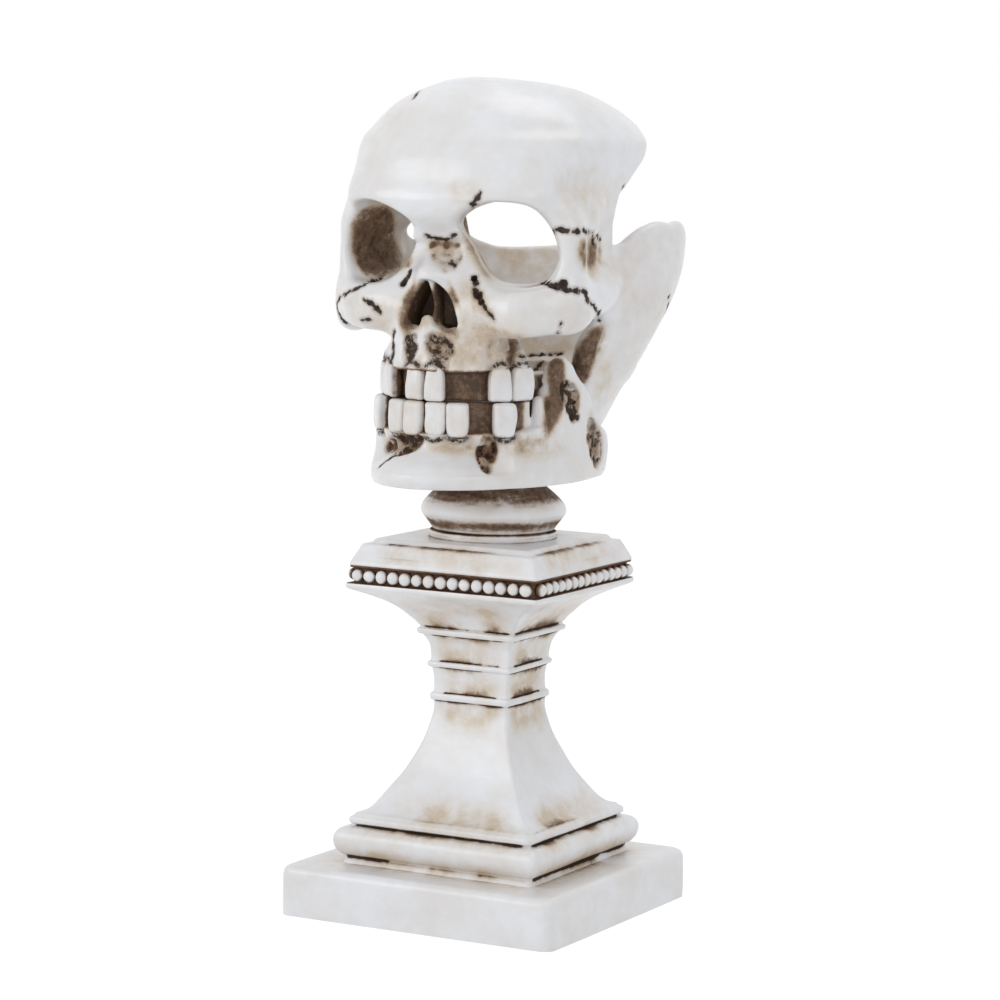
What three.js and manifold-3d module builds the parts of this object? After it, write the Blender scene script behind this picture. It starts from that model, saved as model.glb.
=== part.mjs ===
// Skull candle holder: a cast skull, broken open at the back for a tea light, on a square pedestal.
// Millimetres, +Z up, the face towards -Y. The origin is the centre of the plinth's underside.

import * as THREE from "three";
import { mergeVertices } from "three/addons/utils/BufferGeometryUtils.js";
import Module from "manifold-3d";

const wasm = await Module();
wasm.setup();

// Driving dimensions of the pedestal, from the ground up
const plinthSide = 88;
const plinthHeight = 14.4;
const plinthEdge = 2.4;
const mouldingFootSide = 61.8;
const mouldingTorusSide = 66.8;
const mouldingBandSide = 59.4;
const mouldingHeight = 14.3;
const shaftFootSide = 56.8;
const shaftWaistSide = 24.4;
const shaftHeight = 31.3;
const collarHeight = 7.6;
const lowerCollarSide = 26.2;
const middleCollarSide = 27.4;
const upperCollarSide = 32.4;
const capitalHeight = 12.2;
const capitalSide = 62;
const courseHeight = 5.7;
const courseLip = 0.7;
const courseRecess = 1.7;
const beadDiameter = 3.9;
const beadsPerSide = 15;
const beadStripThickness = 0.7;
const capSlabHeight = 7.6;
const capSlabStep = 0.8;
const capSlabTopSide = 50.6;
const neckRingDiameter = 37.6;
const neckRingHeight = 2.2;
const neckBunDiameter = 42.4;
const neckBunHeight = 15.5;
const dowelDiameter = 8;
const dowelLength = 42;
const dowelDepth = 7;
const dowelClearance = 0.3;

// Driving dimensions of the skull
const skullHeight = 114;
const skullHalfWidth = 42;
const skullFront = 50;
const skullRear = 68;
const skullWall = 4.5;
const jawFloor = 3.5;
const jawWall = 6.5;
const jawBodyHeight = 15;
const ramusThickness = 6;
const toothRowHeight = 18;
const toothThickness = 3.3;
const toothWidth = 5.7;
const toothBackingWall = 3.5;
const toothPitch = 13;
const archHalfWidth = 28.6;
const upperArchHalfWidth = 26.5;
const archLength = 35.3;
const orbitHalfWidth = 14.6;
const orbitHalfHeight = 11.3;
const orbitDepth = 13;
const orbitRim = 3.7;
const orbitSpacing = 42;
const orbitTurn = 20;
const orbitTilt = -20;
const noseHalfWidth = 8.6;
const noseDepth = 11;
const septumThickness = 2;
const cheekBarHeight = 14;
const cheekBarThickness = 10;
const seatHeight = 31;
const tealightBore = 41;
const tealightDepth = 9;
const breakSlant = 3.4;
const jointGap = 0.3;
const overrun = 5;

// Counts of facets
const roundSegments = 36;
const ovalSegments = 36;
const faceSegments = 64;
const ballSegments = 12;
const beadSegments = 6;
const mergeDistance = 1e-4;
const shortestEdge = 0.02;

// Heights of the joints between the pieces, stacked up from the ground
const mouldingBase = plinthHeight;
const shaftBase = mouldingBase + mouldingHeight;
const collarsBase = shaftBase + shaftHeight;
const capitalBase = collarsBase + 3 * collarHeight;
const courseBase = capitalBase + capitalHeight;
const capSlabBase = courseBase + courseHeight;
const neckRingBase = capSlabBase + capSlabHeight;
const neckBunBase = neckRingBase + neckRingHeight;
const skullBase = neckBunBase + neckBunHeight;
const jawFloorTop = skullBase + jawFloor;
const lowerGum = skullBase + jawBodyHeight;
const biteLine = lowerGum + toothRowHeight / 2;
const upperGum = lowerGum + toothRowHeight;
const seatTop = skullBase + seatHeight;
const skullTop = skullBase + skullHeight;

// Places on the skull: shares of its half width, of its reach to the front or the rear, and of its
// height, where the gum lines stay at their own shares when the jaw or the tooth rows change
const gumLineShares = [0, 0.1316, 0.2895, 1];
const gumLines = [skullBase, lowerGum, upperGum, skullTop];

function skullZ(share) {
  const span = share < gumLineShares[1] ? 0 : share < gumLineShares[2] ? 1 : 2;
  const [low, high] = [gumLineShares[span], gumLineShares[span + 1]];
  return gumLines[span] + ((share - low) / (high - low)) * (gumLines[span + 1] - gumLines[span]);
}

const skullX = (share) => share * skullHalfWidth;
const skullY = (share) => (share < 0 ? share * skullFront : share * skullRear);

const capJointShare = 0.7;
const faceRearShare = -0.16;
const maxillaRearShare = -0.62;
const maxillaTopShare = 0.4;
const wallFrontShare = 0.07;
const jawRearShare = 0.18;
const jawSideShare = -0.4;
const backingRearShare = -0.42;
const archCentreShare = -0.145;
const tealightPlaceShare = 0.2;
const orbitPlaceShares = [-0.66, 0.597];
const noseFrontShare = -0.79;
const septumShares = [0.37, 0.5];
const noseChamberShares = [-0.54, 0.44, 0.11];
const spineShares = [-0.81, 0.39, 0.05, 0.025];
const breakPivotShares = [0.81, 0.605];

const capJoint = skullZ(capJointShare);
const faceRear = skullY(faceRearShare);

// The resin is one ivory colour, with the antique wash darker in the recessed pieces
const ivory = new THREE.MeshStandardMaterial({ color: 0xebe6dc, roughness: 0.35, metalness: 0 });
const washed = new THREE.MeshStandardMaterial({ color: 0xa98d68, roughness: 0.5, metalness: 0 });
const steel = new THREE.MeshStandardMaterial({ color: 0x9a9c9e, roughness: 0.4, metalness: 1 });

const holder = new THREE.Group();

function addPiece(name, geometry, material = ivory) {
  const mesh = new THREE.Mesh(geometry, material);
  mesh.name = name;
  holder.add(mesh);
  return mesh;
}

function solidOf(geometry) {
  const bare = geometry.clone();
  bare.deleteAttribute("normal");
  bare.deleteAttribute("uv");
  const merged = mergeVertices(bare, mergeDistance);
  const corners = merged.index.array;
  const kept = [];
  for (let i = 0; i < corners.length; i += 3) {
    const [a, b, c] = [corners[i], corners[i + 1], corners[i + 2]];
    if (a !== b && b !== c && c !== a) kept.push(a, b, c);
  }
  const vertProperties = merged.attributes.position.array;
  const triVerts = new Uint32Array(kept);
  return new wasm.Manifold(new wasm.Mesh({ numProp: 3, vertProperties, triVerts }));
}

function geometryOf(solid) {
  const mesh = solid.simplify(shortestEdge).getMesh();
  const geometry = new THREE.BufferGeometry();
  geometry.setAttribute("position", new THREE.BufferAttribute(new Float32Array(mesh.vertProperties), 3));
  geometry.setIndex(new THREE.BufferAttribute(new Uint32Array(mesh.triVerts), 1));
  geometry.computeVertexNormals();
  return geometry;
}

const joined = (...solids) => solids.reduce((sum, next) => sum.add(next));

// The largest body of a cut solid, without the slivers that the cut leaves beside it
function mainBody(solid) {
  return solid.decompose().reduce((largest, next) => (next.volume() > largest.volume() ? next : largest));
}

// A box between two corners
function block(low, high) {
  const size = high.map((value, i) => value - low[i]);
  const box = new THREE.BoxGeometry(...size);
  box.translate(...low.map((value, i) => value + size[i] / 2));
  return solidOf(box);
}

const everything = 2 * (skullHeight + skullRear + skullFront + skullHalfWidth);
const above = (z) => block([-everything, -everything, z], [everything, everything, z + everything]);
const below = (z) => block([-everything, -everything, z - everything], [everything, everything, z]);
const behind = (y) => block([-everything, y, -everything], [everything, y + everything, everything]);
const before = (y) => block([-everything, y - everything, -everything], [everything, y, everything]);

// The mirror image of an extrusion across the midline, with its faces still outwards
function mirrored(geometry) {
  const flipped = geometry.clone().applyMatrix4(new THREE.Matrix4().makeScale(-1, 1, 1));
  const places = flipped.attributes.position;
  for (let i = 0; i < places.count; i += 3) {
    const second = new THREE.Vector3().fromBufferAttribute(places, i + 1);
    const third = new THREE.Vector3().fromBufferAttribute(places, i + 2);
    places.setXYZ(i + 1, ...third);
    places.setXYZ(i + 2, ...second);
  }
  return flipped;
}

const onSide = (side, geometry) => solidOf(side > 0 ? geometry : mirrored(geometry));

// A solid of square section with mitred corners: profile is a list of [half side, height]
function squareTurned(profile, base) {
  const closed = [[0, profile[0][1]], ...profile, [0, profile.at(-1)[1]]];
  const points = closed.map(([half, z]) => new THREE.Vector2(half * Math.SQRT2, z));
  const turned = new THREE.LatheGeometry(points, 4, Math.PI / 4);
  return turned.rotateX(Math.PI / 2).translate(0, 0, base);
}

// A round solid: profile is a list of [radius, height]
function roundTurned(profile, base) {
  const closed = [[0, profile[0][1]], ...profile, [0, profile.at(-1)[1]]];
  const points = closed.map(([radius, z]) => new THREE.Vector2(radius, z));
  return new THREE.LatheGeometry(points, roundSegments).rotateX(Math.PI / 2).translate(0, 0, base);
}

function upright(radius, low, high) {
  return solidOf(roundTurned([[radius, low], [radius, high]], 0));
}

function ellipsoid(halfSizes, centre) {
  const ball = new THREE.SphereGeometry(1, ballSegments, (2 / 3) * ballSegments);
  return solidOf(ball.rotateX(Math.PI / 2).scale(...halfSizes).translate(...centre));
}

// A solid of oval sections: each level is [height, half width, front, back, squareness if not the usual]
function oval(levels, squareness, segments = ovalSegments, swelling = () => 0) {
  const drum = new THREE.CylinderGeometry(1, 1, 1, segments, levels.length - 1).rotateX(Math.PI / 2);
  const places = drum.attributes.position;
  for (let i = 0; i < places.count; i++) {
    const [x, y, z] = [places.getX(i), places.getY(i), places.getZ(i)];
    const level = levels[Math.round((z + 0.5) * (levels.length - 1))];
    const [height, half, front, back, square = squareness] = level;
    const reach = Math.hypot(x, y);
    const power = Math.abs(x) ** square + Math.abs(y) ** square;
    const grow = reach > 0.5 ? reach / power ** (1 / square) : 0;
    const out = Math.max(0, -y) * swelling(half * x * grow, height);
    places.setXYZ(i, half * x * grow, (front + back) / 2 + ((back - front) / 2) * y * grow - out, height);
  }
  return solidOf(drum);
}

// A prism across the width, from a side outline of [y, z] points
function sideways(outline, low, high) {
  const shape = new THREE.Shape(outline.map(([y, z]) => new THREE.Vector2(y, z)));
  const plate = new THREE.ExtrudeGeometry(shape, { depth: high - low, bevelEnabled: false });
  return plate.rotateY(Math.PI / 2).rotateX(Math.PI / 2).translate(low, 0, 0);
}

// Pedestal: plinth, base moulding, shaft, collars, capital, beaded course and cap slab

function roundedSquare(half, corner) {
  const shape = new THREE.Shape();
  shape.moveTo(half - corner, -half);
  shape.absarc(half - corner, -half + corner, corner, -Math.PI / 2, 0);
  shape.absarc(half - corner, half - corner, corner, 0, Math.PI / 2);
  shape.absarc(-half + corner, half - corner, corner, Math.PI / 2, Math.PI);
  shape.absarc(-half + corner, -half + corner, corner, Math.PI, 1.5 * Math.PI);
  return shape;
}

function plinth() {
  const inner = plinthSide / 2 - plinthEdge;
  const slab = new THREE.ExtrudeGeometry(roundedSquare(inner, plinthEdge / 2), {
    depth: plinthHeight - 2 * plinthEdge,
    bevelThickness: plinthEdge,
    bevelSize: plinthEdge,
    bevelSegments: 3,
    curveSegments: 3,
  });
  return slab.translate(0, 0, plinthEdge);
}

// Shares of the moulding's height, and how far each point stands from the foot towards the torus
const mouldingTorusShares = [
  [0.15, 0], [0.2, 0.4], [0.33, 0.85], [0.5, 1], [0.64, 0.8], [0.74, 0.2], [0.77, -0.5],
];
const mouldingBandShares = [0.79, 0.92];

function baseMoulding() {
  const foot = mouldingFootSide / 2;
  const bulge = (mouldingTorusSide - mouldingFootSide) / 2;
  const torus = mouldingTorusShares.map(([up, out]) => [foot + out * bulge, up * mouldingHeight]);
  const band = mouldingBandShares.map((up) => [mouldingBandSide / 2, up * mouldingHeight]);
  return squareTurned([[foot, 0], ...torus, ...band, [shaftFootSide / 2, mouldingHeight]], mouldingBase);
}

// Shares of the shaft's height, and of the way from its waist out to its foot
const shaftFlareShares = [
  [0, 1], [0.03, 0.84], [0.08, 0.74], [0.2, 0.59], [0.36, 0.39], [0.52, 0.25], [0.68, 0.12], [0.84, 0.04],
  [1, 0],
];

function shaft() {
  const waist = shaftWaistSide / 2;
  const flare = shaftFootSide / 2 - waist;
  const profile = shaftFlareShares.map(([up, out]) => [waist + out * flare, up * shaftHeight]);
  return squareTurned(profile, shaftBase);
}

// Shares of each collar's height, and of the way from its neck out to its ring
const lowerCollarShares = [[0, 0.3], [0.12, 0.4], [0.18, 1], [0.42, 1], [0.5, 0.35], [1, 0]];
const middleCollarShares = [[0, 0], [0.3, 0.07], [0.42, 0.4], [0.46, 1], [0.6, 1], [0.68, 0.6], [1, 0.57]];
const upperCollarShares = [
  [0, 0.21], [0.28, 0.28], [0.43, 0.42], [0.6, 0.58], [0.69, 0.66], [0.73, 1], [0.92, 1], [1, 0.85],
];

function shaftCollar(index, side, shares) {
  const neck = shaftWaistSide / 2;
  const ring = side / 2 - neck;
  const profile = shares.map(([up, out]) => [neck + out * ring, up * collarHeight]);
  return squareTurned(profile, collarsBase + index * collarHeight);
}

// Shares of the capital's height, and of the way from its foot out to its lip
const capitalShares = [
  [0, 0], [0.1, 0.05], [0.26, 0.15], [0.42, 0.24], [0.6, 0.42], [0.78, 0.74], [0.93, 0.97], [1, 1],
];

function capital() {
  const foot = upperCollarSide / 2;
  const flare = capitalSide / 2 - foot;
  const profile = capitalShares.map(([up, out]) => [foot + out * flare, up * capitalHeight]);
  return squareTurned(profile, capitalBase);
}

function beadCourse() {
  const lip = capitalSide / 2;
  const groove = lip - courseRecess;
  const top = courseHeight - courseLip;
  const profile = [[lip, 0], [lip, courseLip], [groove, courseLip], [groove, top], [lip - courseLip, top]];
  return squareTurned([...profile, [lip - courseLip, courseHeight]], courseBase);
}

// One straight string of beads on its backing strip, along +X at the front
function beadString() {
  const face = capitalSide / 2 - courseRecess + jointGap;
  const stripBase = courseBase + courseLip + jointGap;
  const stripTop = capSlabBase - courseLip - jointGap;
  const pitch = (capitalSide - beadDiameter) / beadsPerSide;
  const run = (beadsPerSide - 1) * pitch;
  const middle = (stripBase + stripTop) / 2;
  const strip = block([-run / 2, -face - beadStripThickness, stripBase], [run / 2, -face, stripTop]);
  const radius = Math.min(beadDiameter, stripTop - stripBase) / 2;
  const beads = Array.from({ length: beadsPerSide }, (_, i) => {
    const along = -run / 2 + i * pitch;
    const ball = new THREE.SphereGeometry(radius, beadSegments, beadSegments - 1);
    return solidOf(ball.rotateX(Math.PI / 2).translate(along, -face - beadStripThickness, middle));
  });
  return joined(strip, ...beads).intersect(before(-face));
}

function capSlab() {
  const eaves = capitalSide / 2 - courseLip;
  const plateau = capSlabTopSide / 2;
  const brim = plateau + 3 * capSlabStep;
  const bevelTop = capSlabHeight - 2 * capSlabStep;
  const bevel = [[eaves, 0], [eaves, capSlabStep], [brim, bevelTop], [brim, bevelTop + capSlabStep]];
  const table = [[plateau, bevelTop + capSlabStep], [plateau, capSlabHeight]];
  return solidOf(squareTurned([...bevel, ...table], capSlabBase));
}

// The dowel that locates the skull on the pedestal, and the bore it stands in
const dowelBase = neckRingBase - dowelDepth;
const dowelTop = dowelBase + dowelLength;
const dowelBore = upright(dowelDiameter / 2 + dowelClearance, dowelBase, dowelTop + dowelClearance);

function dowel() {
  return roundTurned([[dowelDiameter / 2, 0], [dowelDiameter / 2, dowelLength]], dowelBase);
}

// Neck: a flat ring and a bun between the cap slab and the skull

function neckRing() {
  const radius = neckRingDiameter / 2;
  const edge = neckRingHeight / 4;
  const side = [[radius - edge, 0], [radius, edge], [radius, neckRingHeight - edge]];
  const profile = [...side, [radius - edge, neckRingHeight]];
  return solidOf(roundTurned(profile, neckRingBase)).subtract(dowelBore);
}

// Shares of the bun's height and of its radius
const bunShares = [
  [0, 0.84], [0.05, 0.86], [0.12, 0.9], [0.24, 0.97], [0.34, 1], [0.44, 0.99], [0.5, 0.96], [0.62, 0.88],
  [0.72, 0.78], [0.8, 0.69], [0.86, 0.66], [1, 0.66],
];

function neckBun() {
  const profile = bunShares.map(([up, out]) => [(out * neckBunDiameter) / 2, up * neckBunHeight]);
  return solidOf(roundTurned(profile, neckBunBase)).subtract(dowelBore);
}

// Skull levels: shares of its height, half width, front reach and rear reach

function levelsOf(shares, inset = 0) {
  return shares.map(([up, wide, front, back, square]) => {
    return [skullZ(up), skullX(wide) - inset, skullY(front) + inset, skullY(back) - inset, square];
  });
}

// Forehead and crown, squarer at the temporal lines
const domeShares = [
  [0.6, 0.79, -0.7, 0.6, 3.2], [0.63, 0.79, -0.72, 0.62, 3.2], [0.66, 0.8, -0.76, 0.65, 3.3],
  [0.7, 0.835, -0.8, 0.67, 3.4], [0.74, 0.868, -0.8, 0.675, 3.1], [0.78, 0.895, -0.79, 0.675, 2.7],
  [0.816, 0.918, -0.765, 0.67, 2.4], [0.842, 0.925, -0.735, 0.66, 2.3], [0.868, 0.885, -0.69, 0.64, 2.2],
  [0.912, 0.76, -0.62, 0.54, 2.3], [0.947, 0.62, -0.53, 0.42, 2.3], [0.978, 0.4, -0.42, 0.24, 2.2],
  [0.995, 0.2, -0.33, 0.07, 2], [1, 0.05, -0.27, -0.1, 2],
];
// Narrow temples between the face and the rear bowl
const templeShares = [
  [0.24, 0.7, -0.46, 0.35], [0.35, 0.75, -0.5, 0.42], [0.5, 0.77, -0.56, 0.48], [0.6, 0.79, -0.62, 0.52],
  [0.7, 0.82, -0.7, 0.55],
];
// The bowl at the back, which leans out as it rises
const bowlShares = [
  [0.035, 0.42, -0.3, 0.27], [0.07, 0.55, -0.38, 0.36], [0.123, 0.665, -0.42, 0.456],
  [0.21, 0.73, -0.35, 0.575], [0.3, 0.81, -0.27, 0.71], [0.386, 0.885, -0.2, 0.825],
  [0.474, 0.94, -0.125, 0.93], [0.553, 0.955, -0.06, 0.995], [0.65, 0.95, -0.03, 1],
];
// The front of the face, from the upper gum to the brow
const faceShares = [
  [0.289, 0.565, -0.82, 0.35], [0.35, 0.52, -0.82, 0.35], [0.4, 0.55, -0.79, 0.35],
  [0.43, 0.59, -0.765, 0.35], [0.456, 0.63, -0.74, 0.35], [0.483, 0.67, -0.715, 0.35],
  [0.51, 0.705, -0.69, 0.35], [0.535, 0.735, -0.67, 0.35], [0.56, 0.765, -0.65, 0.35],
  [0.585, 0.79, -0.65, 0.35], [0.61, 0.81, -0.66, 0.35], [0.635, 0.83, -0.69, 0.35],
  [0.66, 0.845, -0.73, 0.35, 2.6], [0.68, 0.85, -0.76, 0.35, 3], [0.72, 0.86, -0.79, 0.35, 3.4],
];
// Swellings of the face: place across and up, spread across and up, and how far each stands out
const swellingShares = [
  [0, 0.675, 0.21, 0.044, 0.05], [0.476, 0.684, 0.286, 0.04, 0.06], [0.786, 0.65, 0.19, 0.053, 0.06],
  [0, 0.605, 0.143, 0.035, -0.04], [0, 0.52, 0.15, 0.05, 0.16], [0.286, 0.35, 0.14, 0.05, 0.02],
  [0.48, 0.44, 0.24, 0.06, 0.1],
];
// The jaw's body, which flares to a lip along its lower edge
const jawShares = [
  [0, 0.62, -0.96, 0.49], [0.018, 0.64, -1, 0.53], [0.044, 0.605, -0.99, 0.53],
  [0.079, 0.535, -0.9, 0.47], [0.105, 0.53, -0.865, 0.44], [0.132, 0.59, -0.865, 0.42],
];
// Side view of the broken edge: over the crown, down to the notch at the temple, and round the bowl's rim
const brokenEdgeShares = [
  [0.4, 1.06], [0.38, 0.95], [0.345, 0.89], [0.315, 0.842], [0.27, 0.79], [0.2, 0.741], [0.14, 0.695],
  [0.118, 0.658], [0.12, 0.63], [0.15, 0.609], [0.2, 0.605], [0.25, 0.615], [0.31, 0.629], [0.38, 0.636],
  [0.47, 0.635], [0.56, 0.64], [0.65, 0.62], [0.74, 0.602], [0.85, 0.588], [1.2, 0.583],
];

const skullRoundness = 2.3;
const bowlRoundness = 2.1;
const jawRoundness = 2;

const crown = (inset = 0) => oval(levelsOf(domeShares, inset), skullRoundness);
const temples = (inset = 0) => oval(levelsOf(templeShares, inset), skullRoundness);
const bowl = (inset = 0) => oval(levelsOf(bowlShares, inset), bowlRoundness);

function faceSwelling(x, z) {
  return swellingShares.reduce((sum, [across, up, wide, high, out]) => {
    const off = (Math.abs(x) - skullX(across)) / skullX(wide);
    const rise = (z - skullZ(up)) / (high * skullHeight);
    return sum + out * skullFront * Math.exp(-off * off - rise * rise);
  }, 0);
}

// All that lies behind and above the broken edge, which sits lower on the skull's right
function brokenAway() {
  const edge = brokenEdgeShares.map(([along, up]) => [skullY(along), skullZ(up)]);
  const far = skullY(brokenEdgeShares.at(-1)[0]);
  const high = skullZ(brokenEdgeShares[0][1]);
  const [x, z] = [skullX(breakPivotShares[0]), skullZ(breakPivotShares[1])];
  const prism = sideways([...edge, [far, high]], -2 * skullHalfWidth, 2 * skullHalfWidth);
  prism.translate(-x, 0, -z).rotateY(-THREE.MathUtils.degToRad(breakSlant)).translate(x, 0, z);
  return solidOf(prism);
}

// The hollow inside the skull, down to the candle seat
function hollow() {
  const roof = crown(skullWall).translate([0, 0, -skullWall]);
  const mouth = oval(levelsOf(faceShares, skullWall), skullRoundness);
  return joined(roof, temples(skullWall), bowl(skullWall), mouth).intersect(above(seatTop));
}

// The temples, the bowl and the crown together, up to the cap's joint
function rearMass(inset = 0) {
  return joined(crown(inset), temples(inset), bowl(inset));
}

const openBack = brokenAway();
const inside = hollow();

// The eye sockets are bored along lines turned outwards
function orbit(side, grow, front, back) {
  const ring = new THREE.Shape();
  const tilt = THREE.MathUtils.degToRad(orbitTilt);
  ring.absellipse(0, 0, orbitHalfWidth + grow, orbitHalfHeight + grow, 0, 2 * Math.PI, false, tilt);
  const drill = { depth: front + back, bevelEnabled: false, curveSegments: 12 };
  const bore = new THREE.ExtrudeGeometry(ring, drill);
  bore.rotateX(Math.PI / 2).translate(0, back, 0);
  bore.rotateZ(THREE.MathUtils.degToRad(orbitTurn));
  bore.translate(orbitSpacing / 2, skullY(orbitPlaceShares[0]), skullZ(orbitPlaceShares[1]));
  return onSide(side, bore);
}

const sides = [1, -1];

function cranialCap() {
  return crown().subtract(inside).subtract(openBack).intersect(above(capJoint));
}

// The round recess that takes the tea light
function tealightRecess() {
  const hole = upright(tealightBore / 2, seatTop - tealightDepth, seatTop + overrun);
  return hole.translate([0, skullY(tealightPlaceShare), 0]);
}

function rearBowl() {
  const walls = rearMass().subtract(inside).intersect(behind(faceRear)).intersect(above(seatTop));
  const window = before(skullY(wallFrontShare)).intersect(below(skullZ(maxillaTopShare)));
  const seat = bowl().intersect(below(seatTop)).intersect(above(jawFloorTop));
  const open = joined(walls.subtract(window), seat).subtract(openBack).subtract(tealightRecess());
  const tails = sides.map((side) => cheekbone(side).intersect(behind(faceRear)).subtract(inside));
  return joined(open.intersect(below(capJoint)).subtract(dowelBore), ...tails);
}

// The cheekbone: a broad bar from the upper jaw round to the temple, with a strut up to the brow. The
// face carries its front, and the rear bowl carries its tail behind the joint.
const cheekPathShares = [
  [0.33, -0.62, 0.421], [0.56, -0.66, 0.43], [0.735, -0.56, 0.439], [0.845, -0.37, 0.456],
  [0.865, -0.16, 0.474], [0.845, -0.01, 0.482],
];
const cheekEndShare = 0.95;
// Levels of the strut about its own axis, and how far out the axis stands
const strutShares = [
  [0.44, 0.13, -0.55, -0.31], [0.5, 0.1, -0.53, -0.35], [0.59, 0.095, -0.52, -0.36],
  [0.64, 0.1, -0.52, -0.35], [0.68, 0.11, -0.52, -0.32],
];
const strutPlaceShare = 0.845;

function cheekbone(side) {
  const high = cheekBarHeight / 2;
  const thick = cheekBarThickness / 2;
  const path = cheekPathShares.map(([x, y, z]) => new THREE.Vector3(skullX(x), skullY(y), skullZ(z)));
  const section = new THREE.Shape();
  section.absellipse(0, 0, high, thick, 0, 2 * Math.PI, false, 0);
  const extrudePath = new THREE.CatmullRomCurve3(path);
  const bar = onSide(side, new THREE.ExtrudeGeometry(section, { steps: 8, curveSegments: 6, extrudePath }));
  const { x, y, z } = path.at(-1);
  const end = ellipsoid([cheekEndShare * thick, thick, cheekEndShare * high], [side * x, y, z]);
  const strut = oval(levelsOf(strutShares), jawRoundness, ballSegments);
  return joined(bar, end, strut.translate([side * skullX(strutPlaceShare), 0, 0]));
}

// Pear-shaped opening of the nose, as shares of its half width and of the skull's height
const noseShares = [
  [0, 0.51], [0.35, 0.5], [0.75, 0.455], [1, 0.41], [0.95, 0.385], [0.6, 0.375], [0.2, 0.388],
];

function noseOpening() {
  const right = noseShares.map(([out, up]) => [out * noseHalfWidth, skullZ(up)]);
  const left = right.slice(1).reverse().map(([x, z]) => [-x, z]);
  const shape = new THREE.Shape([...right, ...left].map(([x, z]) => new THREE.Vector2(x, z)));
  const cut = new THREE.ExtrudeGeometry(shape, { depth: skullFront, bevelEnabled: false });
  return solidOf(cut.rotateX(Math.PI / 2).translate(0, skullY(noseFrontShare) + noseDepth, 0));
}

// The wall behind the nose, the septum in it and the spine below it
function noseParts() {
  const [depth, up, high] = noseChamberShares;
  const chamberSize = [1.45 * noseHalfWidth, noseDepth, high * skullHeight];
  const chamber = ellipsoid(chamberSize, [0, skullY(depth), skullZ(up)]);
  const [foot, head] = septumShares.map(skullZ);
  const front = skullY(noseFrontShare);
  const septum = block([-septumThickness / 2, front, foot], [septumThickness / 2, front + noseDepth, head]);
  const [out, rise, wide, tall] = spineShares;
  const spineSize = [skullX(wide), 1.5 * skullX(wide), tall * skullHeight];
  return [chamber, joined(septum, ellipsoid(spineSize, [0, skullY(out), skullZ(rise)]))];
}

function face() {
  const front = oval(levelsOf(faceShares), skullRoundness, faceSegments, faceSwelling);
  const sockets = sides.map((side) => orbit(side, orbitRim, 0, orbitDepth).intersect(inside));
  const [chamber, septum] = noseParts();
  const lowSides = behind(skullY(maxillaRearShare)).intersect(below(skullZ(maxillaTopShare)));
  const shell = front.subtract(inside).subtract(lowSides).intersect(before(faceRear));
  const mass = joined(shell, chamber, ...sockets, ...sides.map(cheekbone));
  const bores = sides.map((side) => orbit(side, 0, skullFront / 2, skullRear / 2));
  const carved = mass.subtract(noseOpening()).add(septum).subtract(joined(...bores));
  const backing = toothBacking(upperArchHalfWidth, biteLine + jointGap / 2, upperGum + overrun);
  const whole = joined(carved.intersect(above(upperGum)), backing.subtract(inside));
  return mainBody(whole.intersect(below(capJoint)).intersect(before(faceRear)));
}

// Side view of the jaw's ramus: shares of the skull's front or rear reach, and of its height
const ramusShares = [
  [-0.5, 0.01], [0.12, 0.01], [0.19, 0.014], [0.222, 0.05], [0.225, 0.088], [0.195, 0.118],
  [0.15, 0.142], [0.06, 0.185], [0.035, 0.235], [-0.02, 0.24], [-0.11, 0.252], [-0.2, 0.268], [-0.26, 0.294], [-0.31, 0.299],
  [-0.35, 0.275], [-0.28, 0.212], [-0.34, 0.165], [-0.39, 0.137], [-0.522, 0.121], [-0.6, 0.1],
];
// The sides of the jaw that the ramus follows, leaning out towards the temples
const jawSideShares = [[0, 0.71, -0.92, 0.72], [0.12, 0.71, -0.9, 0.78], [0.31, 0.73, -0.86, 0.86]];

function ramusPair() {
  const outline = ramusShares.map(([along, up]) => [skullY(along), skullZ(up)]);
  const plates = solidOf(sideways(outline, -skullHalfWidth, skullHalfWidth));
  const outer = oval(levelsOf(jawSideShares), jawRoundness);
  const inner = oval(levelsOf(jawSideShares, ramusThickness), jawRoundness);
  return plates.intersect(outer.subtract(inner));
}

// The arch that the teeth stand on, drawn in by an inset
function arch(halfWidth, inset, low, high) {
  const middle = skullY(archCentreShare);
  const [half, reach] = [halfWidth - inset, archLength - inset];
  return oval([low, high].map((z) => [z, half, middle - reach, middle + reach]), jawRoundness);
}

function toothBacking(halfWidth, low, high) {
  const outer = arch(halfWidth, toothThickness + jointGap, low, high);
  const inner = arch(halfWidth, toothThickness + toothBackingWall, low - overrun, high + overrun);
  return outer.subtract(inner).intersect(before(skullY(backingRearShare)));
}

function lowerJaw() {
  const outer = oval(levelsOf(jawShares), jawRoundness);
  const inner = oval(levelsOf(jawShares, jawWall), jawRoundness).intersect(above(jawFloorTop));
  const body = outer.subtract(inner).intersect(before(skullY(jawSideShare)));
  const plate = outer.intersect(below(jawFloorTop)).intersect(before(skullY(jawRearShare)));
  const backing = toothBacking(archHalfWidth, lowerGum - overrun, biteLine - jointGap / 2);
  const maxillaSpace = before(skullY(maxillaRearShare)).intersect(above(upperGum - jointGap));
  const whole = joined(body, plate, backing, ramusPair()).subtract(maxillaSpace);
  return mainBody(whole.subtract(rearMass(-jointGap).intersect(above(jawFloorTop))).subtract(dowelBore));
}

// Teeth: front view of one, as shares of its width and of its height from the biting edge to the gum
const toothShares = [[0.42, 0], [0.5, 0.12], [0.48, 0.5], [0.38, 0.93], [0.28, 1]];
const toothAngleShare = 0.56;

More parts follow.
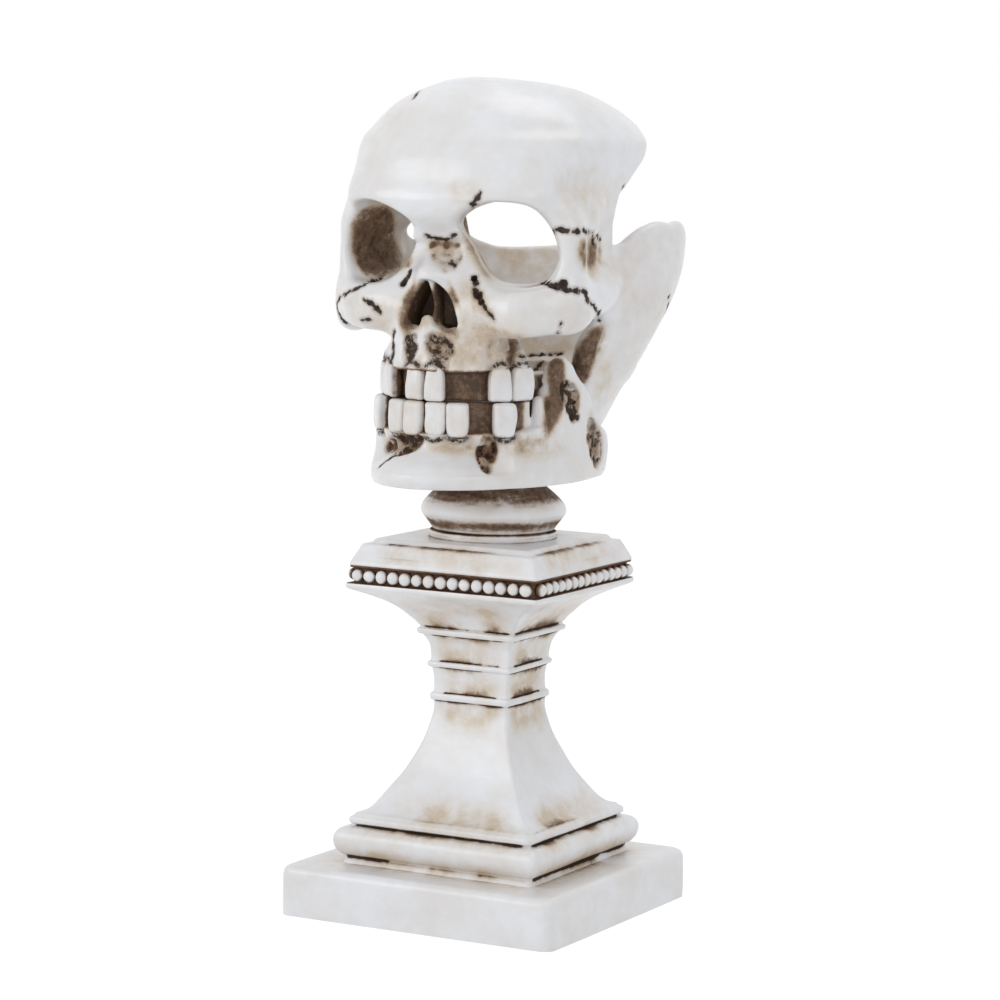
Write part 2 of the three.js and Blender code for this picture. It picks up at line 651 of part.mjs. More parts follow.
// The teeth that the skull still has, counted outwards from the midline on its left and right
const teethPresent = {
  upper_left: [1, 4, 5],
  upper_right: [1, 3, 4, 5],
  lower_left: [1, 2, 4],
  lower_right: [1, 2, 4, 5],
};

function tooth(row, count) {
  const upper = row.startsWith("upper");
  const side = row.endsWith("left") ? 1 : -1;
  const angle = side * THREE.MathUtils.degToRad((count - 1 + toothAngleShare) * toothPitch);
  const height = (toothRowHeight - jointGap) / 2 - jointGap;
  const right = toothShares.map(([across, up]) => [across * toothWidth, (upper ? up : -up) * height]);
  const left = right.map(([x, z]) => [-x, z]).reverse();
  const shape = new THREE.Shape([...right, ...left].map(([x, z]) => new THREE.Vector2(x, z)));
  const crownBlock = new THREE.ExtrudeGeometry(shape, { depth: toothThickness, bevelEnabled: false });
  crownBlock.rotateX(Math.PI / 2).translate(0, toothThickness, 0);
  const half = upper ? upperArchHalfWidth : archHalfWidth;
  const x = half * Math.sin(angle);
  const y = skullY(archCentreShare) - archLength * Math.cos(angle);
  const facing = Math.atan2(archLength * Math.sin(angle), half * Math.cos(angle));
  return crownBlock.rotateZ(facing).translate(x, y, biteLine + ((upper ? 1 : -1) * jointGap) / 2);
}

addPiece("plinth", plinth());
addPiece("base_moulding", baseMoulding());
addPiece("shaft", shaft());
addPiece("shaft_collar_lower", shaftCollar(0, lowerCollarSide, lowerCollarShares));
addPiece("shaft_collar_middle", shaftCollar(1, middleCollarSide, middleCollarShares));
addPiece("shaft_collar_upper", shaftCollar(2, upperCollarSide, upperCollarShares));
addPiece("capital", capital());
addPiece("bead_course", beadCourse(), washed);
const string = beadString();
["front", "right", "back", "left"].forEach((name, i) => {
  addPiece("bead_string_" + name, geometryOf(string).rotateZ((i * Math.PI) / 2));
});
addPiece("cap_slab", geometryOf(capSlab().subtract(dowelBore)));
addPiece("neck_ring", geometryOf(neckRing()), washed);
addPiece("neck_bun", geometryOf(neckBun()));
addPiece("locating_dowel", dowel(), steel);
addPiece("lower_jaw", geometryOf(lowerJaw()));
addPiece("rear_bowl", geometryOf(rearBowl()));
addPiece("face", geometryOf(face()));
addPiece("cranial_cap", geometryOf(cranialCap()));
for (const [row, counts] of Object.entries(teethPresent)) {
  for (const count of counts) addPiece(`tooth_${row}_${count}`, tooth(row, count));
}

export default holder;
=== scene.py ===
import functools
import math

import bmesh
import bpy
import numpy as np
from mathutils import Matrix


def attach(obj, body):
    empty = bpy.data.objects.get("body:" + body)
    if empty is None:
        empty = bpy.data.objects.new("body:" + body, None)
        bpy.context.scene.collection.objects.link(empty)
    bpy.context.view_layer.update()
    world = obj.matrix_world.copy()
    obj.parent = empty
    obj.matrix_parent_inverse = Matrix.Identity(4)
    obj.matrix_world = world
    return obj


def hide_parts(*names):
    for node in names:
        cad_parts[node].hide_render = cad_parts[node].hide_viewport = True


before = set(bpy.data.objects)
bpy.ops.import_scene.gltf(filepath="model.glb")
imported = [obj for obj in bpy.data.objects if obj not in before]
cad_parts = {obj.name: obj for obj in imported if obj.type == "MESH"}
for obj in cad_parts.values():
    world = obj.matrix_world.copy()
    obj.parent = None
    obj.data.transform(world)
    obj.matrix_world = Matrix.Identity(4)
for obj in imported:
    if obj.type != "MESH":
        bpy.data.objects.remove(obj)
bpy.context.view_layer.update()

import openvdb
from mathutils import Matrix, Vector

bl_info = {
    "name": "Skull candle holder",
    "version": (1, 0, 0),
    "blender": (4, 5, 0),
    "location": "3D View > Sidebar > Holder",
    "description": "Cast skull with a candle bowl on a square pedestal, with its antique wash",
    "category": "Add Mesh",
}

MM = 0.001

# Heights of the part's joints, in millimetres
SKULL_BASE, JAW_FLOOR, LOWER_GUM, BITE, UPPER_GUM, SEAT, SKULL_TOP = 126, 129.5, 141, 150, 159, 157, 240
SKULL_HEIGHT = SKULL_TOP - SKULL_BASE
GUM_SHARES, GUM_LINES = (0, 0.1316, 0.2895, 1), (SKULL_BASE, LOWER_GUM, UPPER_GUM, SKULL_TOP)
# The skull's half width, its reach to the front and rear, and its wall; the face's rear and the cap's joint;
# the dowel's bore; the tea light's recess
HALF_WIDTH, FRONT, REAR, WALL = 42, 50, 68, 4.5
FACE_REAR, CAP_JOINT = -8.0, 205.8
DOWEL_BORE, DOWEL_TOP = 4.3, 143.6
RECESS_Y, RECESS_RADIUS, RECESS_FLOOR = 13.6, 20.5, 148


def skull_z(share):
    """The height at a share of the skull's own height."""
    return np.interp(share, GUM_SHARES, GUM_LINES) + max(0.0, share - 1) * SKULL_HEIGHT


def skull_y(share):
    """The place at a share of the skull's reach: to the front below 0, to the rear above it."""
    return share * (FRONT if share < 0 else REAR)


# Where the photograph was taken from: the eye's distance, and its turn, rise and roll in degrees; the point
# aimed at; the focal length and half the picture in pixels
EYE_DISTANCE, EYE_TURN, EYE_RISE, EYE_ROLL = 1032.2, 28.28, 6.35, 1.08
AIM_HEIGHT, AIM_SIDE = 118.74, 1.9
FOCAL, HALF_PICTURE = 3583.0, 500


def photo_camera():
    """The eye's place in millimetres, and its right, up and back directions."""
    turn, rise, roll = (math.radians(v) for v in (EYE_TURN, EYE_RISE, EYE_ROLL))
    back = np.array([math.sin(turn) * math.cos(rise), -math.cos(turn) * math.cos(rise), math.sin(rise)])
    eye = np.array([math.cos(turn) * AIM_SIDE, math.sin(turn) * AIM_SIDE, AIM_HEIGHT]) + back * EYE_DISTANCE
    right = np.cross(-back, [0, 0, 1])
    right /= np.linalg.norm(right)
    up = np.cross(right, -back)
    return eye, math.cos(roll) * right + math.sin(roll) * up, math.cos(roll) * up - math.sin(roll) * right, back


def photo_rays(pixels):
    """Lines of sight through pixels of the photograph."""
    eye, right, up, back = photo_camera()
    pixels = np.asarray(pixels, float)
    across, rise = (pixels[:, 0] - HALF_PICTURE) / FOCAL, (HALF_PICTURE - pixels[:, 1]) / FOCAL
    along = across[:, None] * right + rise[:, None] * up - back
    return np.repeat(eye[None], len(pixels), 0), along / np.linalg.norm(along, axis=1)[:, None]


# Curves and noise

def through(places, values, at, hold=True):
    """A smooth curve through values that never overshoots them."""
    places, values, at = (np.asarray(v, float) for v in (places, values, at))
    if hold:
        at = np.clip(at, places[0], places[-1])
    step = np.diff(places)
    slope = np.diff(values) / step
    product, total = slope[:-1] * slope[1:], slope[:-1] + slope[1:]
    inner = np.where(product > 0, 2 * product / np.where(product > 0, total, 1), 0)
    tangent = np.concatenate([slope[:1], inner, slope[-1:]])
    i = np.clip(np.searchsorted(places, at, side="right") - 1, 0, len(step) - 1)
    t, h = (at - places[i]) / step[i], step[i]
    curve = (values[i] * (1 + 2 * t) * (1 - t) ** 2 + h * tangent[i] * t * (1 - t) ** 2
             + values[i + 1] * t * t * (3 - 2 * t) + h * tangent[i + 1] * t * t * (t - 1))
    below, above = values[0] + tangent[0] * (at - places[0]), values[-1] + tangent[-1] * (at - places[-1])
    return np.where(at < places[0], below, np.where(at > places[-1], above, curve))


def spline(points, closed=False, pieces=6):
    """Points along a rounded curve through the given ones."""
    points = np.asarray(points, float)
    if closed:
        ring = np.vstack([points[-1], points, points[:2]])
    else:
        ring = np.vstack([2 * points[0] - points[1], points, 2 * points[-1] - points[-2]])
    out = []
    for a, b, c, d in zip(ring[:-3], ring[1:-2], ring[2:-1], ring[3:]):
        for t in np.arange(pieces) / pieces:
            out.append(0.5 * (2 * b + (c - a) * t + (2 * a - 5 * b + 4 * c - d) * t ** 2
                              + (3 * b - a - 3 * c + d) * t ** 3))
    if not closed:
        out.append(points[-1])
    return np.array(out)


def run_along(points):
    """How far along a line each of its points lies."""
    return np.concatenate([[0], np.cumsum(np.linalg.norm(np.diff(points, axis=0), axis=1))])


def even(points, spacing):
    """The same line with points at an even spacing."""
    points = np.asarray(points, float)
    run = run_along(points)
    at = np.linspace(0, run[-1], max(2, int(run[-1] / spacing) + 1))
    return np.stack([np.interp(at, run, column) for column in points.T], -1)


class Outline:
    """Distances to a closed outline on a plane, kept in a table: below zero inside."""

    def __init__(self, points, margin=12, cell=0.3):
        points = np.asarray(points, float)
        self.low, self.cell = points.min(0) - margin, cell
        count = np.ceil((points.max(0) + margin - self.low) / cell).astype(int) + 1
        u = self.low[0] + cell * np.arange(count[0])[:, None]
        v = self.low[1] + cell * np.arange(count[1])[None, :]
        best, inside = np.full(count, 1e9), np.zeros(count, bool)
        for (ax, ay), (bx, by) in zip(points, np.roll(points, -1, 0)):
            dx, dy = bx - ax, by - ay
            t = np.clip(((u - ax) * dx + (v - ay) * dy) / max(dx * dx + dy * dy, 1e-9), 0, 1)
            best = np.minimum(best, (u - ax - t * dx) ** 2 + (v - ay - t * dy) ** 2)
            if dy:
                inside ^= ((ay > v) != (by > v)) & (u < dx * (v - ay) / dy + ax)
        self.table = (np.sqrt(best) * np.where(inside, -1, 1)).astype(np.float32)

    def at(self, u, v):
        u = np.clip((u - self.low[0]) / self.cell, 0, self.table.shape[0] - 1.001)
        v = np.clip((v - self.low[1]) / self.cell, 0, self.table.shape[1] - 1.001)
        i, j = u.astype(np.int32), v.astype(np.int32)
        p, q, t = (u - i).astype(np.float32), (v - j).astype(np.float32), self.table
        return (t[i, j] * (1 - p) + t[i + 1, j] * p) * (1 - q) + (t[i, j + 1] * (1 - p) + t[i + 1, j + 1] * p) * q


def joined(a, b, blend):
    """Both forms, run together over a width."""
    h = np.clip(0.5 + 0.5 * (b - a) / blend, 0, 1)
    return b + h * (a - b) - blend * h * (1 - h)


def without(a, b, blend):
    """The first form with the second taken out of it."""
    return -joined(-a, b, blend)


def common(a, b, blend):
    """What lies in both forms."""
    return -joined(-a, -b, blend)


def overlap(*forms):
    """What lies in all of the forms, with sharp edges."""
    return functools.reduce(np.maximum, forms)


def stepped(value, low, high):
    """Rises smoothly from 0 to 1 between two values."""
    t = np.clip((value - low) / (high - low), 0, 1)
    return t * t * (3 - 2 * t)


class Clay:
    """Resin sampled on an even grid in millimetres: below zero inside it, above zero outside."""

    STRIDE = 0.35  # of a line of sight on its way to the resin

    def __init__(self, low, high, step):
        self.low, self.step = np.array(low, np.float32), step
        axes = [np.arange(a, b + step, step, dtype=np.float32) for a, b in zip(low, high)]
        self.x, self.y, self.z = axes[0][:, None, None], axes[1][None, :, None], axes[2][None, None, :]
        self.shape = tuple(len(axis) for axis in axes)
        self.field = np.full(self.shape, 20, np.float32)
        self.crack = np.full(self.shape, 9, np.float32)
        # brown stains, and painted shade where weak outlines darken places that lie in shade
        self.stain_and_shade = np.zeros(self.shape, np.float32)
        self.inner = None

    def window(self, low, high):
        """The part of the grid between two corners, and its coordinates."""
        first = [max(0, int((v - o) / self.step)) for v, o in zip(low, self.low)]
        last = [min(n, int((v - o) / self.step) + 2) for v, o, n in zip(high, self.low, self.shape)]
        cut = tuple(slice(a, max(a, b)) for a, b in zip(first, last))
        return cut, self.x[cut[0]], self.y[:, cut[1]], self.z[:, :, cut[2]]

    def change(self, low, high, form, how, blend):
        """Joins, takes out or keeps a form inside a window; form is a function of x, y and z."""
        cut, x, y, z = self.window(low, high)
        if self.field[cut].size:
            self.field[cut] = how(self.field[cut], form(x, y, z).astype(np.float32), blend)

    def sample(self, values, points):
        """Values of an array at points in millimetres."""
        at = np.clip((points - self.low) / self.step, 0, np.array(self.shape) - 1.001)
        i = at.astype(int)
        f = at - i
        total = 0
        for a in (0, 1):
            for b in (0, 1):
                for c in (0, 1):
                    share = (np.abs(1 - a - f[:, 0]) * np.abs(1 - b - f[:, 1]) * np.abs(1 - c - f[:, 2]))
                    total = total + share * values[i[:, 0] + a, i[:, 1] + b, i[:, 2] + c]
        return total

    def hit(self, origins, along):
        """Where lines first meet the resin, and whether they do."""
        centre = self.low + np.array(self.shape) * self.step / 2
        reach = np.linalg.norm(np.array(self.shape) * self.step) / 2
        start = np.maximum(0, ((centre - origins) * along).sum(1) - reach)
        where, found = np.zeros_like(origins), np.zeros(len(origins), bool)
        high = self.low + (np.array(self.shape) - 1) * self.step
        for k in range(int(2 * reach / self.STRIDE)):
            points = origins + along * (start + k * self.STRIDE)[:, None]
            inside = ((points > self.low) & (points < high)).all(1) & ~found
            if inside.any():
                solid = np.zeros(len(points), bool)
                solid[inside] = self.sample(self.field, points[inside]) < 0
                where[solid] = points[solid]
                found |= solid
        return where, found

    def noise(self, size, seed):
        """Smooth noise over the whole grid, with lumps of a size in millimetres."""
        counts = [int(n * self.step / size) + 4 for n in self.shape]
        lumps = np.random.default_rng(seed).standard_normal(counts).astype(np.float32)
        for axis, n in enumerate(self.shape):
            at = np.arange(n) * self.step / size
            i = at.astype(int)
            t = at - i
            weights = np.zeros((n, counts[axis]), np.float32)
            for k, w in enumerate(((1 - t) ** 3, 3 * t ** 3 - 6 * t ** 2 + 4,
                                   -3 * t ** 3 + 3 * t ** 2 + 3 * t + 1, t ** 3)):
                weights[np.arange(n), i + k] += w / 6
            lumps = np.moveaxis(np.tensordot(weights, lumps, (1, axis)), 0, axis)
        return lumps / lumps.std()

    def blurred(self, values, radius, rounds=2):
        """Mean over a neighbourhood in millimetres."""
        n = max(1, int(round(radius / self.step)))
        for _ in range(rounds):
            for axis in range(3):
                padded = np.pad(values, [(n + 1, n) if a == axis else (0, 0) for a in range(3)], mode="edge")
                total = np.cumsum(padded, axis, dtype=np.float32)
                size = values.shape[axis]
                ahead = np.take(total, range(2 * n + 1, 2 * n + 1 + size), axis)
                values = (ahead - np.take(total, range(size), axis)) / (2 * n + 1)
        return values

    def scratch(self, points, radii):
        """Cuts a groove along points on the surface."""
        for (px, py, pz), r in zip(points, radii):
            reach = r + 2.2
            cut, x, y, z = self.window((px - reach, py - reach, pz - reach), (px + reach, py + reach, pz + reach))
            if not self.field[cut].size:
                continue
            away = np.sqrt((x - px) ** 2 + (y - py) ** 2 + (z - pz) ** 2)
            self.field[cut] = without(self.field[cut], away - r, 0.25)
            self.crack[cut] = np.minimum(self.crack[cut], away - r - 0.15)

    def soil(self, low, high, form, strength, soft=1.0):
        """Stains what lies inside a form, fading over a width."""
        cut, x, y, z = self.window(low, high)
        if self.stain_and_shade[cut].size:
            share = 1 - stepped(np.broadcast_to(form(x, y, z), self.stain_and_shade[cut].shape), -soft, soft)
            self.stain_and_shade[cut] = np.maximum(self.stain_and_shade[cut], (strength * share).astype(np.float32))

    def surface(self):
        """The resin's skin as points and faces, of its largest body only."""
        grid = openvdb.FloatGrid(1.0)
        grid.copyFromArray(np.ascontiguousarray(np.clip(self.field, -3, 3)))
        points, triangles, quads = grid.convertToPolygons(isovalue=0.0, adaptivity=0.0)
        points = points * self.step + self.low
        blocks = [block for block in (quads, triangles) if len(block)]
        edges = np.vstack([np.stack([block, np.roll(block, -1, 1)], -1).reshape(-1, 2) for block in blocks])
        # each point takes the lowest label that it is joined to, until nothing changes
        label, before = np.arange(len(points)), None
        while before is None or (label != before).any():
            before = label.copy()
            lowest = np.minimum(label[edges[:, 0]], label[edges[:, 1]])
            for end in (0, 1):
                np.minimum.at(label, edges[:, end], lowest)
            label = label[label][label[label]]
        names, sizes = np.unique(label, return_counts=True)
        kept = label == names[sizes.argmax()]
        new = np.cumsum(kept) - 1
        return points[kept], [new[block[kept[block[:, 0]]]] for block in blocks]


# Forms of the skull: levels of share of height, half width, front reach, rear reach and squareness

DOME = (
    (0.6, 0.79, -0.7, 0.6, 3.2), (0.63, 0.79, -0.72, 0.62, 3.2), (0.66, 0.8, -0.76, 0.65, 3.3),
    (0.7, 0.825, -0.8, 0.67, 3.4), (0.74, 0.868, -0.8, 0.675, 3.1), (0.78, 0.895, -0.79, 0.675, 2.7),
    (0.816, 0.918, -0.765, 0.67, 2.4), (0.842, 0.925, -0.735, 0.66, 2.3), (0.868, 0.885, -0.69, 0.64, 2.2),
    (0.912, 0.76, -0.62, 0.54, 2.3), (0.947, 0.62, -0.53, 0.42, 2.3), (0.978, 0.4, -0.42, 0.24, 2.2),
    (0.995, 0.2, -0.33, 0.07, 2), (1, 0.05, -0.27, -0.1, 2),
)
TEMPLES = (
    (0.24, 0.7, -0.46, 0.35, 2.3), (0.35, 0.75, -0.5, 0.42, 2.3), (0.5, 0.77, -0.56, 0.48, 2.3),
    (0.6, 0.79, -0.62, 0.52, 2.3), (0.7, 0.82, -0.7, 0.55, 2.3),
)
BOWL = (
    (0.035, 0.42, -0.3, 0.27, 2.1), (0.07, 0.55, -0.38, 0.36, 2.1), (0.123, 0.665, -0.42, 0.456, 2.1),
    (0.21, 0.73, -0.35, 0.575, 2.1), (0.3, 0.81, -0.27, 0.71, 2.1), (0.386, 0.885, -0.2, 0.825, 2.1),
    (0.474, 0.94, -0.125, 0.93, 2.1), (0.553, 0.955, -0.06, 0.995, 2.1), (0.65, 0.95, -0.03, 1, 2.1),
)
FACE = (
    (0.289, 0.53, -0.82, 0.35, 2.3), (0.35, 0.445, -0.82, 0.35, 2.3), (0.4, 0.475, -0.79, 0.35, 2.3),
    (0.43, 0.59, -0.765, 0.35, 2.3), (0.456, 0.63, -0.74, 0.35, 2.3), (0.483, 0.67, -0.715, 0.35, 2.3),
    (0.51, 0.705, -0.69, 0.35, 2.3), (0.535, 0.735, -0.67, 0.35, 2.3), (0.56, 0.765, -0.65, 0.35, 2.3),
    (0.585, 0.79, -0.65, 0.35, 2.3), (0.61, 0.81, -0.66, 0.35, 2.3), (0.635, 0.83, -0.69, 0.35, 2.3),
    (0.66, 0.835, -0.73, 0.35, 2.6), (0.68, 0.835, -0.76, 0.35, 3), (0.72, 0.82, -0.79, 0.35, 3.4),
    (0.75, 0.795, -0.77, 0.35, 3.2), (0.79, 0.76, -0.7, 0.33, 2.8), (0.84, 0.64, -0.58, 0.3, 2.4),
)
JAW = (
    (0, 0.62, -0.96, 0.49, 2), (0.018, 0.64, -1, 0.53, 2), (0.044, 0.605, -0.99, 0.53, 2),
    (0.079, 0.5, -0.88, 0.47, 2), (0.105, 0.475, -0.84, 0.44, 2), (0.132, 0.56, -0.86, 0.42, 2),
)
JAW_SIDES = ((0, 0.71, -0.92, 0.72, 2), (0.12, 0.715, -0.9, 0.78, 2), (0.31, 0.77, -0.86, 0.86, 2))
# Swellings of the face: place across and up, spread across and up, and how far each stands out
SWELLINGS = (
    (0, 0.675, 0.21, 0.044, 0.05), (0.476, 0.684, 0.286, 0.04, 0.06), (0.786, 0.65, 0.19, 0.053, 0.06),
    (0, 0.605, 0.143, 0.035, -0.04), (0, 0.52, 0.15, 0.05, 0.16), (0.286, 0.35, 0.14, 0.05, 0.02),
    (0.48, 0.44, 0.24, 0.06, 0.1),
)
# Side view of the broken edge: over the crown, down to the notch at the temple, round the bowl's rim
BROKEN_EDGE = (
    (0.4, 1.06), (0.38, 0.95), (0.345, 0.89), (0.315, 0.842), (0.27, 0.79), (0.2, 0.741), (0.14, 0.695),
    (0.118, 0.658), (0.12, 0.63), (0.15, 0.609), (0.2, 0.605), (0.25, 0.615), (0.31, 0.629), (0.38, 0.636),
    (0.47, 0.635), (0.56, 0.64), (0.65, 0.62), (0.74, 0.602), (0.85, 0.588), (1.2, 0.583),
)
BREAK_SLANT, BREAK_PIVOT = math.radians(3.4), (0.81, 0.605)
# On the skull's right the edge lies lower and is notched: how deep, and at what height in millimetres
NOTCH_DEPTH, NOTCH_HEIGHT, NOTCH_SPREAD = 8, 197, 6
# Shares of the height where the forms end
CROWN_FOOT, TEMPLE_FOOT, TEMPLE_TOP, BOWL_TOP, FACE_TOP, FACE_HOLLOW_TOP = 0.6, 0.24, 0.7, 0.67, 0.84, 0.72
# Side view of the jaw's branch, and the cheekbone's path from the upper jaw to the temple, all as shares
RAMUS = (
    (-0.5, 0.01), (0.12, 0.01), (0.19, 0.014), (0.22, 0.05), (0.222, 0.085), (0.19, 0.115),
    (0.12, 0.135), (0.06, 0.16), (0.03, 0.19), (0, 0.215), (-0.05, 0.236), (-0.1, 0.25), (-0.15, 0.272),
    (-0.2, 0.298), (-0.26, 0.312), (-0.31, 0.303), (-0.325, 0.27), (-0.295, 0.215), (-0.345, 0.165),
    (-0.41, 0.137), (-0.522, 0.121), (-0.6, 0.1),
)
CHEEK_PATH = (
    (0.33, -0.62, 0.421), (0.56, -0.66, 0.43), (0.735, -0.56, 0.439), (0.83, -0.37, 0.456),
    (0.85, -0.16, 0.474), (0.835, -0.01, 0.482), (0.8, 0.08, 0.492), (0.71, 0.17, 0.5),
)
CHEEK_HALF, FAR_CHEEK = (4.4, 5, 5.2, 5, 4.8, 4.4, 3.8, 2), 0.97
# The strut from cheekbone to brow: places and half thickness, in millimetres
STRUT = (
    ((34.8, -22, 176), 6.6), ((34.8, -23, 183), 5), ((34.8, -23.2, 193), 4.5), ((34.6, -23.2, 198), 4.6),
    ((32, -23, 202), 4.4), ((29, -23, 205), 4),
)
# Front edge of the skull's side wall behind the cheek's opening, seen from the side in millimetres
WALL_FRONT = (
    (-31, 128), (-31, 173), (3, 173), (6.2, 170.5), (5.4, 167), (2.6, 162), (-0.8, 156.5), (-4.3, 151.1),
    (-4.5, 146), (-3, 140), (-3, 128),
)
# The thick end of that wall, the bone between the sockets and the darkening on it, on the skull's left
WALL_END = ((31.3, 1.2, 170), (28.2, 1.2, 163.5), (26, 1.4, 155.5))
BETWEEN_SOCKETS = ((0.5, -24, 201), (2.2, -24.5, 194), (5.2, -24.5, 189.5), (8.6, -25, 184.5))
SOCKET_DARKENING = ((2, -24, 198), (5, -24, 191), (9, -24, 185))
# The eye sockets' outline about an axis turned outwards, in millimetres: out and up
ORBIT = (
    (-14, 4.9), (-11.6, 8.4), (-7.3, 10.4), (-2.9, 11.2), (3.5, 10.9), (7.3, 9.2), (11, 4.9), (13.4, 0),
    (14, -3.7), (12.8, -7.2), (10.2, -9.8), (5.8, -11), (0, -11), (-4.4, -9.8), (-7.6, -6.6), (-10.5, -1.4),
)
ORBIT_PLACE, ORBIT_TURN = (21, -33, 194), math.radians(20)
NOSE = ((0, 0.51), (0.35, 0.5), (0.75, 0.455), (1, 0.41), (0.95, 0.385), (0.6, 0.375), (0.2, 0.388))
NOSE_HALF_WIDTH, NOSE_FLOOR_Y = 8.6, -28.5
NOSE_HEIGHT = 0.44
# The teeth stand on two half ovals: their pitch and where it starts, and the ovals' middle and length; then for
# each arch its half width and the bottom and top of its teeth; the grids of the teeth and the jaw
TOOTH_PITCH, TOOTH_OFFSET, ARCH_Y, ARCH_LENGTH = math.radians(13), 0.56, -7.25, 35.3
ARCH_HALF = {"upper": 26.5, "lower": 28.6}
TOOTH_SPAN = {"upper": (150.15, 160.2), "lower": (139.8, 149.85)}
TOOTH_GRID, JAW_GRID = 0.3, 0.45
TEETH = {
    "upper_left": (1, 4, 5), "upper_right": (1, 3, 4, 5), "lower_left": (1, 2, 4), "lower_right": (1, 2, 4, 5),
}
BOWL_SHARE = 0.7  # of the rear bowl's triangles, so that it stays under 200,000


def levels_of(shares):
    """Levels in millimetres: height, half width, front, rear and squareness."""
    return np.array([(skull_z(up), wide * HALF_WIDTH, skull_y(front), skull_y(back), square)
                     for up, wide, front, back, square in shares])


def swelling(x, z):
    """How far the face stands out beyond its ovals."""
    total = 0
    for across, up, wide, high, out in SWELLINGS:
        off = (np.abs(x) - across * HALF_WIDTH) / (wide * HALF_WIDTH)
        rise = (z - skull_z(up)) / (high * SKULL_HEIGHT)
        total = total + out * FRONT * np.exp(-off * off - rise * rise)
    return total


def oval(clay, shares, swollen=False, soft=3):
    """Distances to a form of oval sections over the whole grid."""
    height, wide, front, back, square = levels_of(shares).T
    at = clay.z.ravel()
    reach = int(soft / clay.step)
    kernel = np.hanning(2 * reach + 3) / np.hanning(2 * reach + 3).sum()
    padded = clay.z.ravel()[0] + clay.step * np.arange(-reach - 1, len(at) + reach + 1)

    def level(values, hold=True):
        curve = np.convolve(through(height, values, padded, hold), kernel, "valid")
        return curve[None, None].astype(np.float32)

    squared, centre = level(wide ** 2, False), level((front + back) / 2)
    ratio, power = level(wide * 2 / (back - front)), level(square)
    x, y = np.abs(clay.x), clay.y
    if swollen:
        across = (y - centre) * ratio
        facing = np.clip(-across / np.sqrt(x * x + across * across + 1e-3), 0, 1)
        y = y + facing * swelling(clay.x, clay.z).astype(np.float32)
    size = (x ** power + np.abs((y - centre) * ratio) ** power) ** (2 / power) - squared
    slopes = np.gradient(size, clay.step)
    steep = np.sqrt(slopes[0] ** 2 + slopes[1] ** 2 + slopes[2] ** 2)
    return np.clip(size / (steep + 1.5), -30, 30).astype(np.float32)


def bar(path, widths, squash=(1, 1, 1)):
    """A rounded bar along a path, with a half thickness at each point."""
    line = spline(path, pieces=4)
    half = np.interp(np.linspace(0, 1, len(line)), np.linspace(0, 1, len(widths)), widths)
    scale = np.array(squash, float)

    def form(x, y, z):
        best = None
        for a, b, p, q in zip(line[:-1], line[1:], half[:-1], half[1:]):
            d = (b - a) * scale
            u, v, w = (x - a[0]) * scale[0], (y - a[1]) * scale[1], (z - a[2]) * scale[2]
            t = np.clip((u * d[0] + v * d[1] + w * d[2]) / max(1e-9, float(d @ d)), 0, 1)
            away = np.sqrt((u - t * d[0]) ** 2 + (v - t * d[1]) ** 2 + (w - t * d[2]) ** 2) - (p + t * (q - p))
            best = away if best is None else np.minimum(best, away)
        return best

    return form


def ball(place, size):
    """An egg of three half sizes about a place."""
    (cx, cy, cz), (a, b, c) = place, size

    def form(x, y, z):
        u, v, w = (x - cx) / a, (y - cy) / b, (z - cz) / c
        near = np.sqrt(u * u + v * v + w * w) + 1e-6
        steep = np.sqrt((u / a) ** 2 + (v / b) ** 2 + (w / c) ** 2) + 1e-6
        return near * (near - 1) / steep

    return form


def sided(side, path):
    """A path on one side of the middle: 1 for the skull's left and -1 for its right."""
    return [(side * x, y, z) for x, y, z in path]


def mirrored(side, low, high):
    """A window's two corners, on one side of the middle."""
    first, last = sorted((side * low[0], side * high[0]))
    return (first, *low[1:]), (last, *high[1:])


def orbit_bore(side, grow, front, back):
    """A socket's bore along its outward line."""
    outline = Outline(spline(ORBIT, closed=True))
    cx, cy, cz = ORBIT_PLACE
    c, s = math.cos(ORBIT_TURN), math.sin(ORBIT_TURN)

    def form(x, y, z):
        u, v = side * x - cx, y - cy
        across, along = u * c + v * s, v * c - u * s
        return overlap(outline.at(across, z - cz) - grow, front - along, along - back)

    return form


def nose_outline():
    """The pear-shaped opening of the nose, seen from the front."""
    left = [(out * NOSE_HALF_WIDTH, float(skull_z(up))) for out, up in NOSE]
    return Outline(spline(left + [(-x, z) for x, z in left[:0:-1]], closed=True), 8)


def broken_away(clay):
    """All that lies behind and above the broken edge, which sits lower on the skull's right."""
    edge = [tuple(p) for p in spline([(skull_y(along), float(skull_z(up))) for along, up in BROKEN_EDGE])]
    rear, top = edge[-1][0] + 20, edge[0][1] + 20
    outline = Outline(edge + [(rear, edge[-1][1]), (rear, top), (edge[0][0], top)], 30)
    x0, z0 = BREAK_PIVOT[0] * HALF_WIDTH, skull_z(BREAK_PIVOT[1])
    high = (clay.z - z0) * math.cos(BREAK_SLANT) - (clay.x - x0) * math.sin(BREAK_SLANT) + z0
    high = high - stepped(-clay.x, 0, 12)
    notch = NOTCH_DEPTH * stepped(-clay.x, 10, 26) * (1 - stepped(clay.y, 16, 28))
    return outline.at(clay.y + notch * np.exp(-((high - NOTCH_HEIGHT) / NOTCH_SPREAD) ** 2), high)


def arch_wall(arch, low, high):
    """The wall that an arch's teeth stand on."""
    half, thick_out, thick_in = ARCH_HALF[arch], 3.6, 6.8

    def form(x, y, z):
        reach = np.sqrt((x / half) ** 2 + ((y - ARCH_Y) / ARCH_LENGTH) ** 2) + 1e-6
        steep = np.sqrt((x / half ** 2) ** 2 + ((y - ARCH_Y) / ARCH_LENGTH ** 2) ** 2) / reach + 1e-6
        away = (reach - 1) / steep
        return overlap(away + thick_out, -away - thick_in, y + 21, low - z, z - high)

    return form


def arch_of(row):
    return row.split("_")[0]


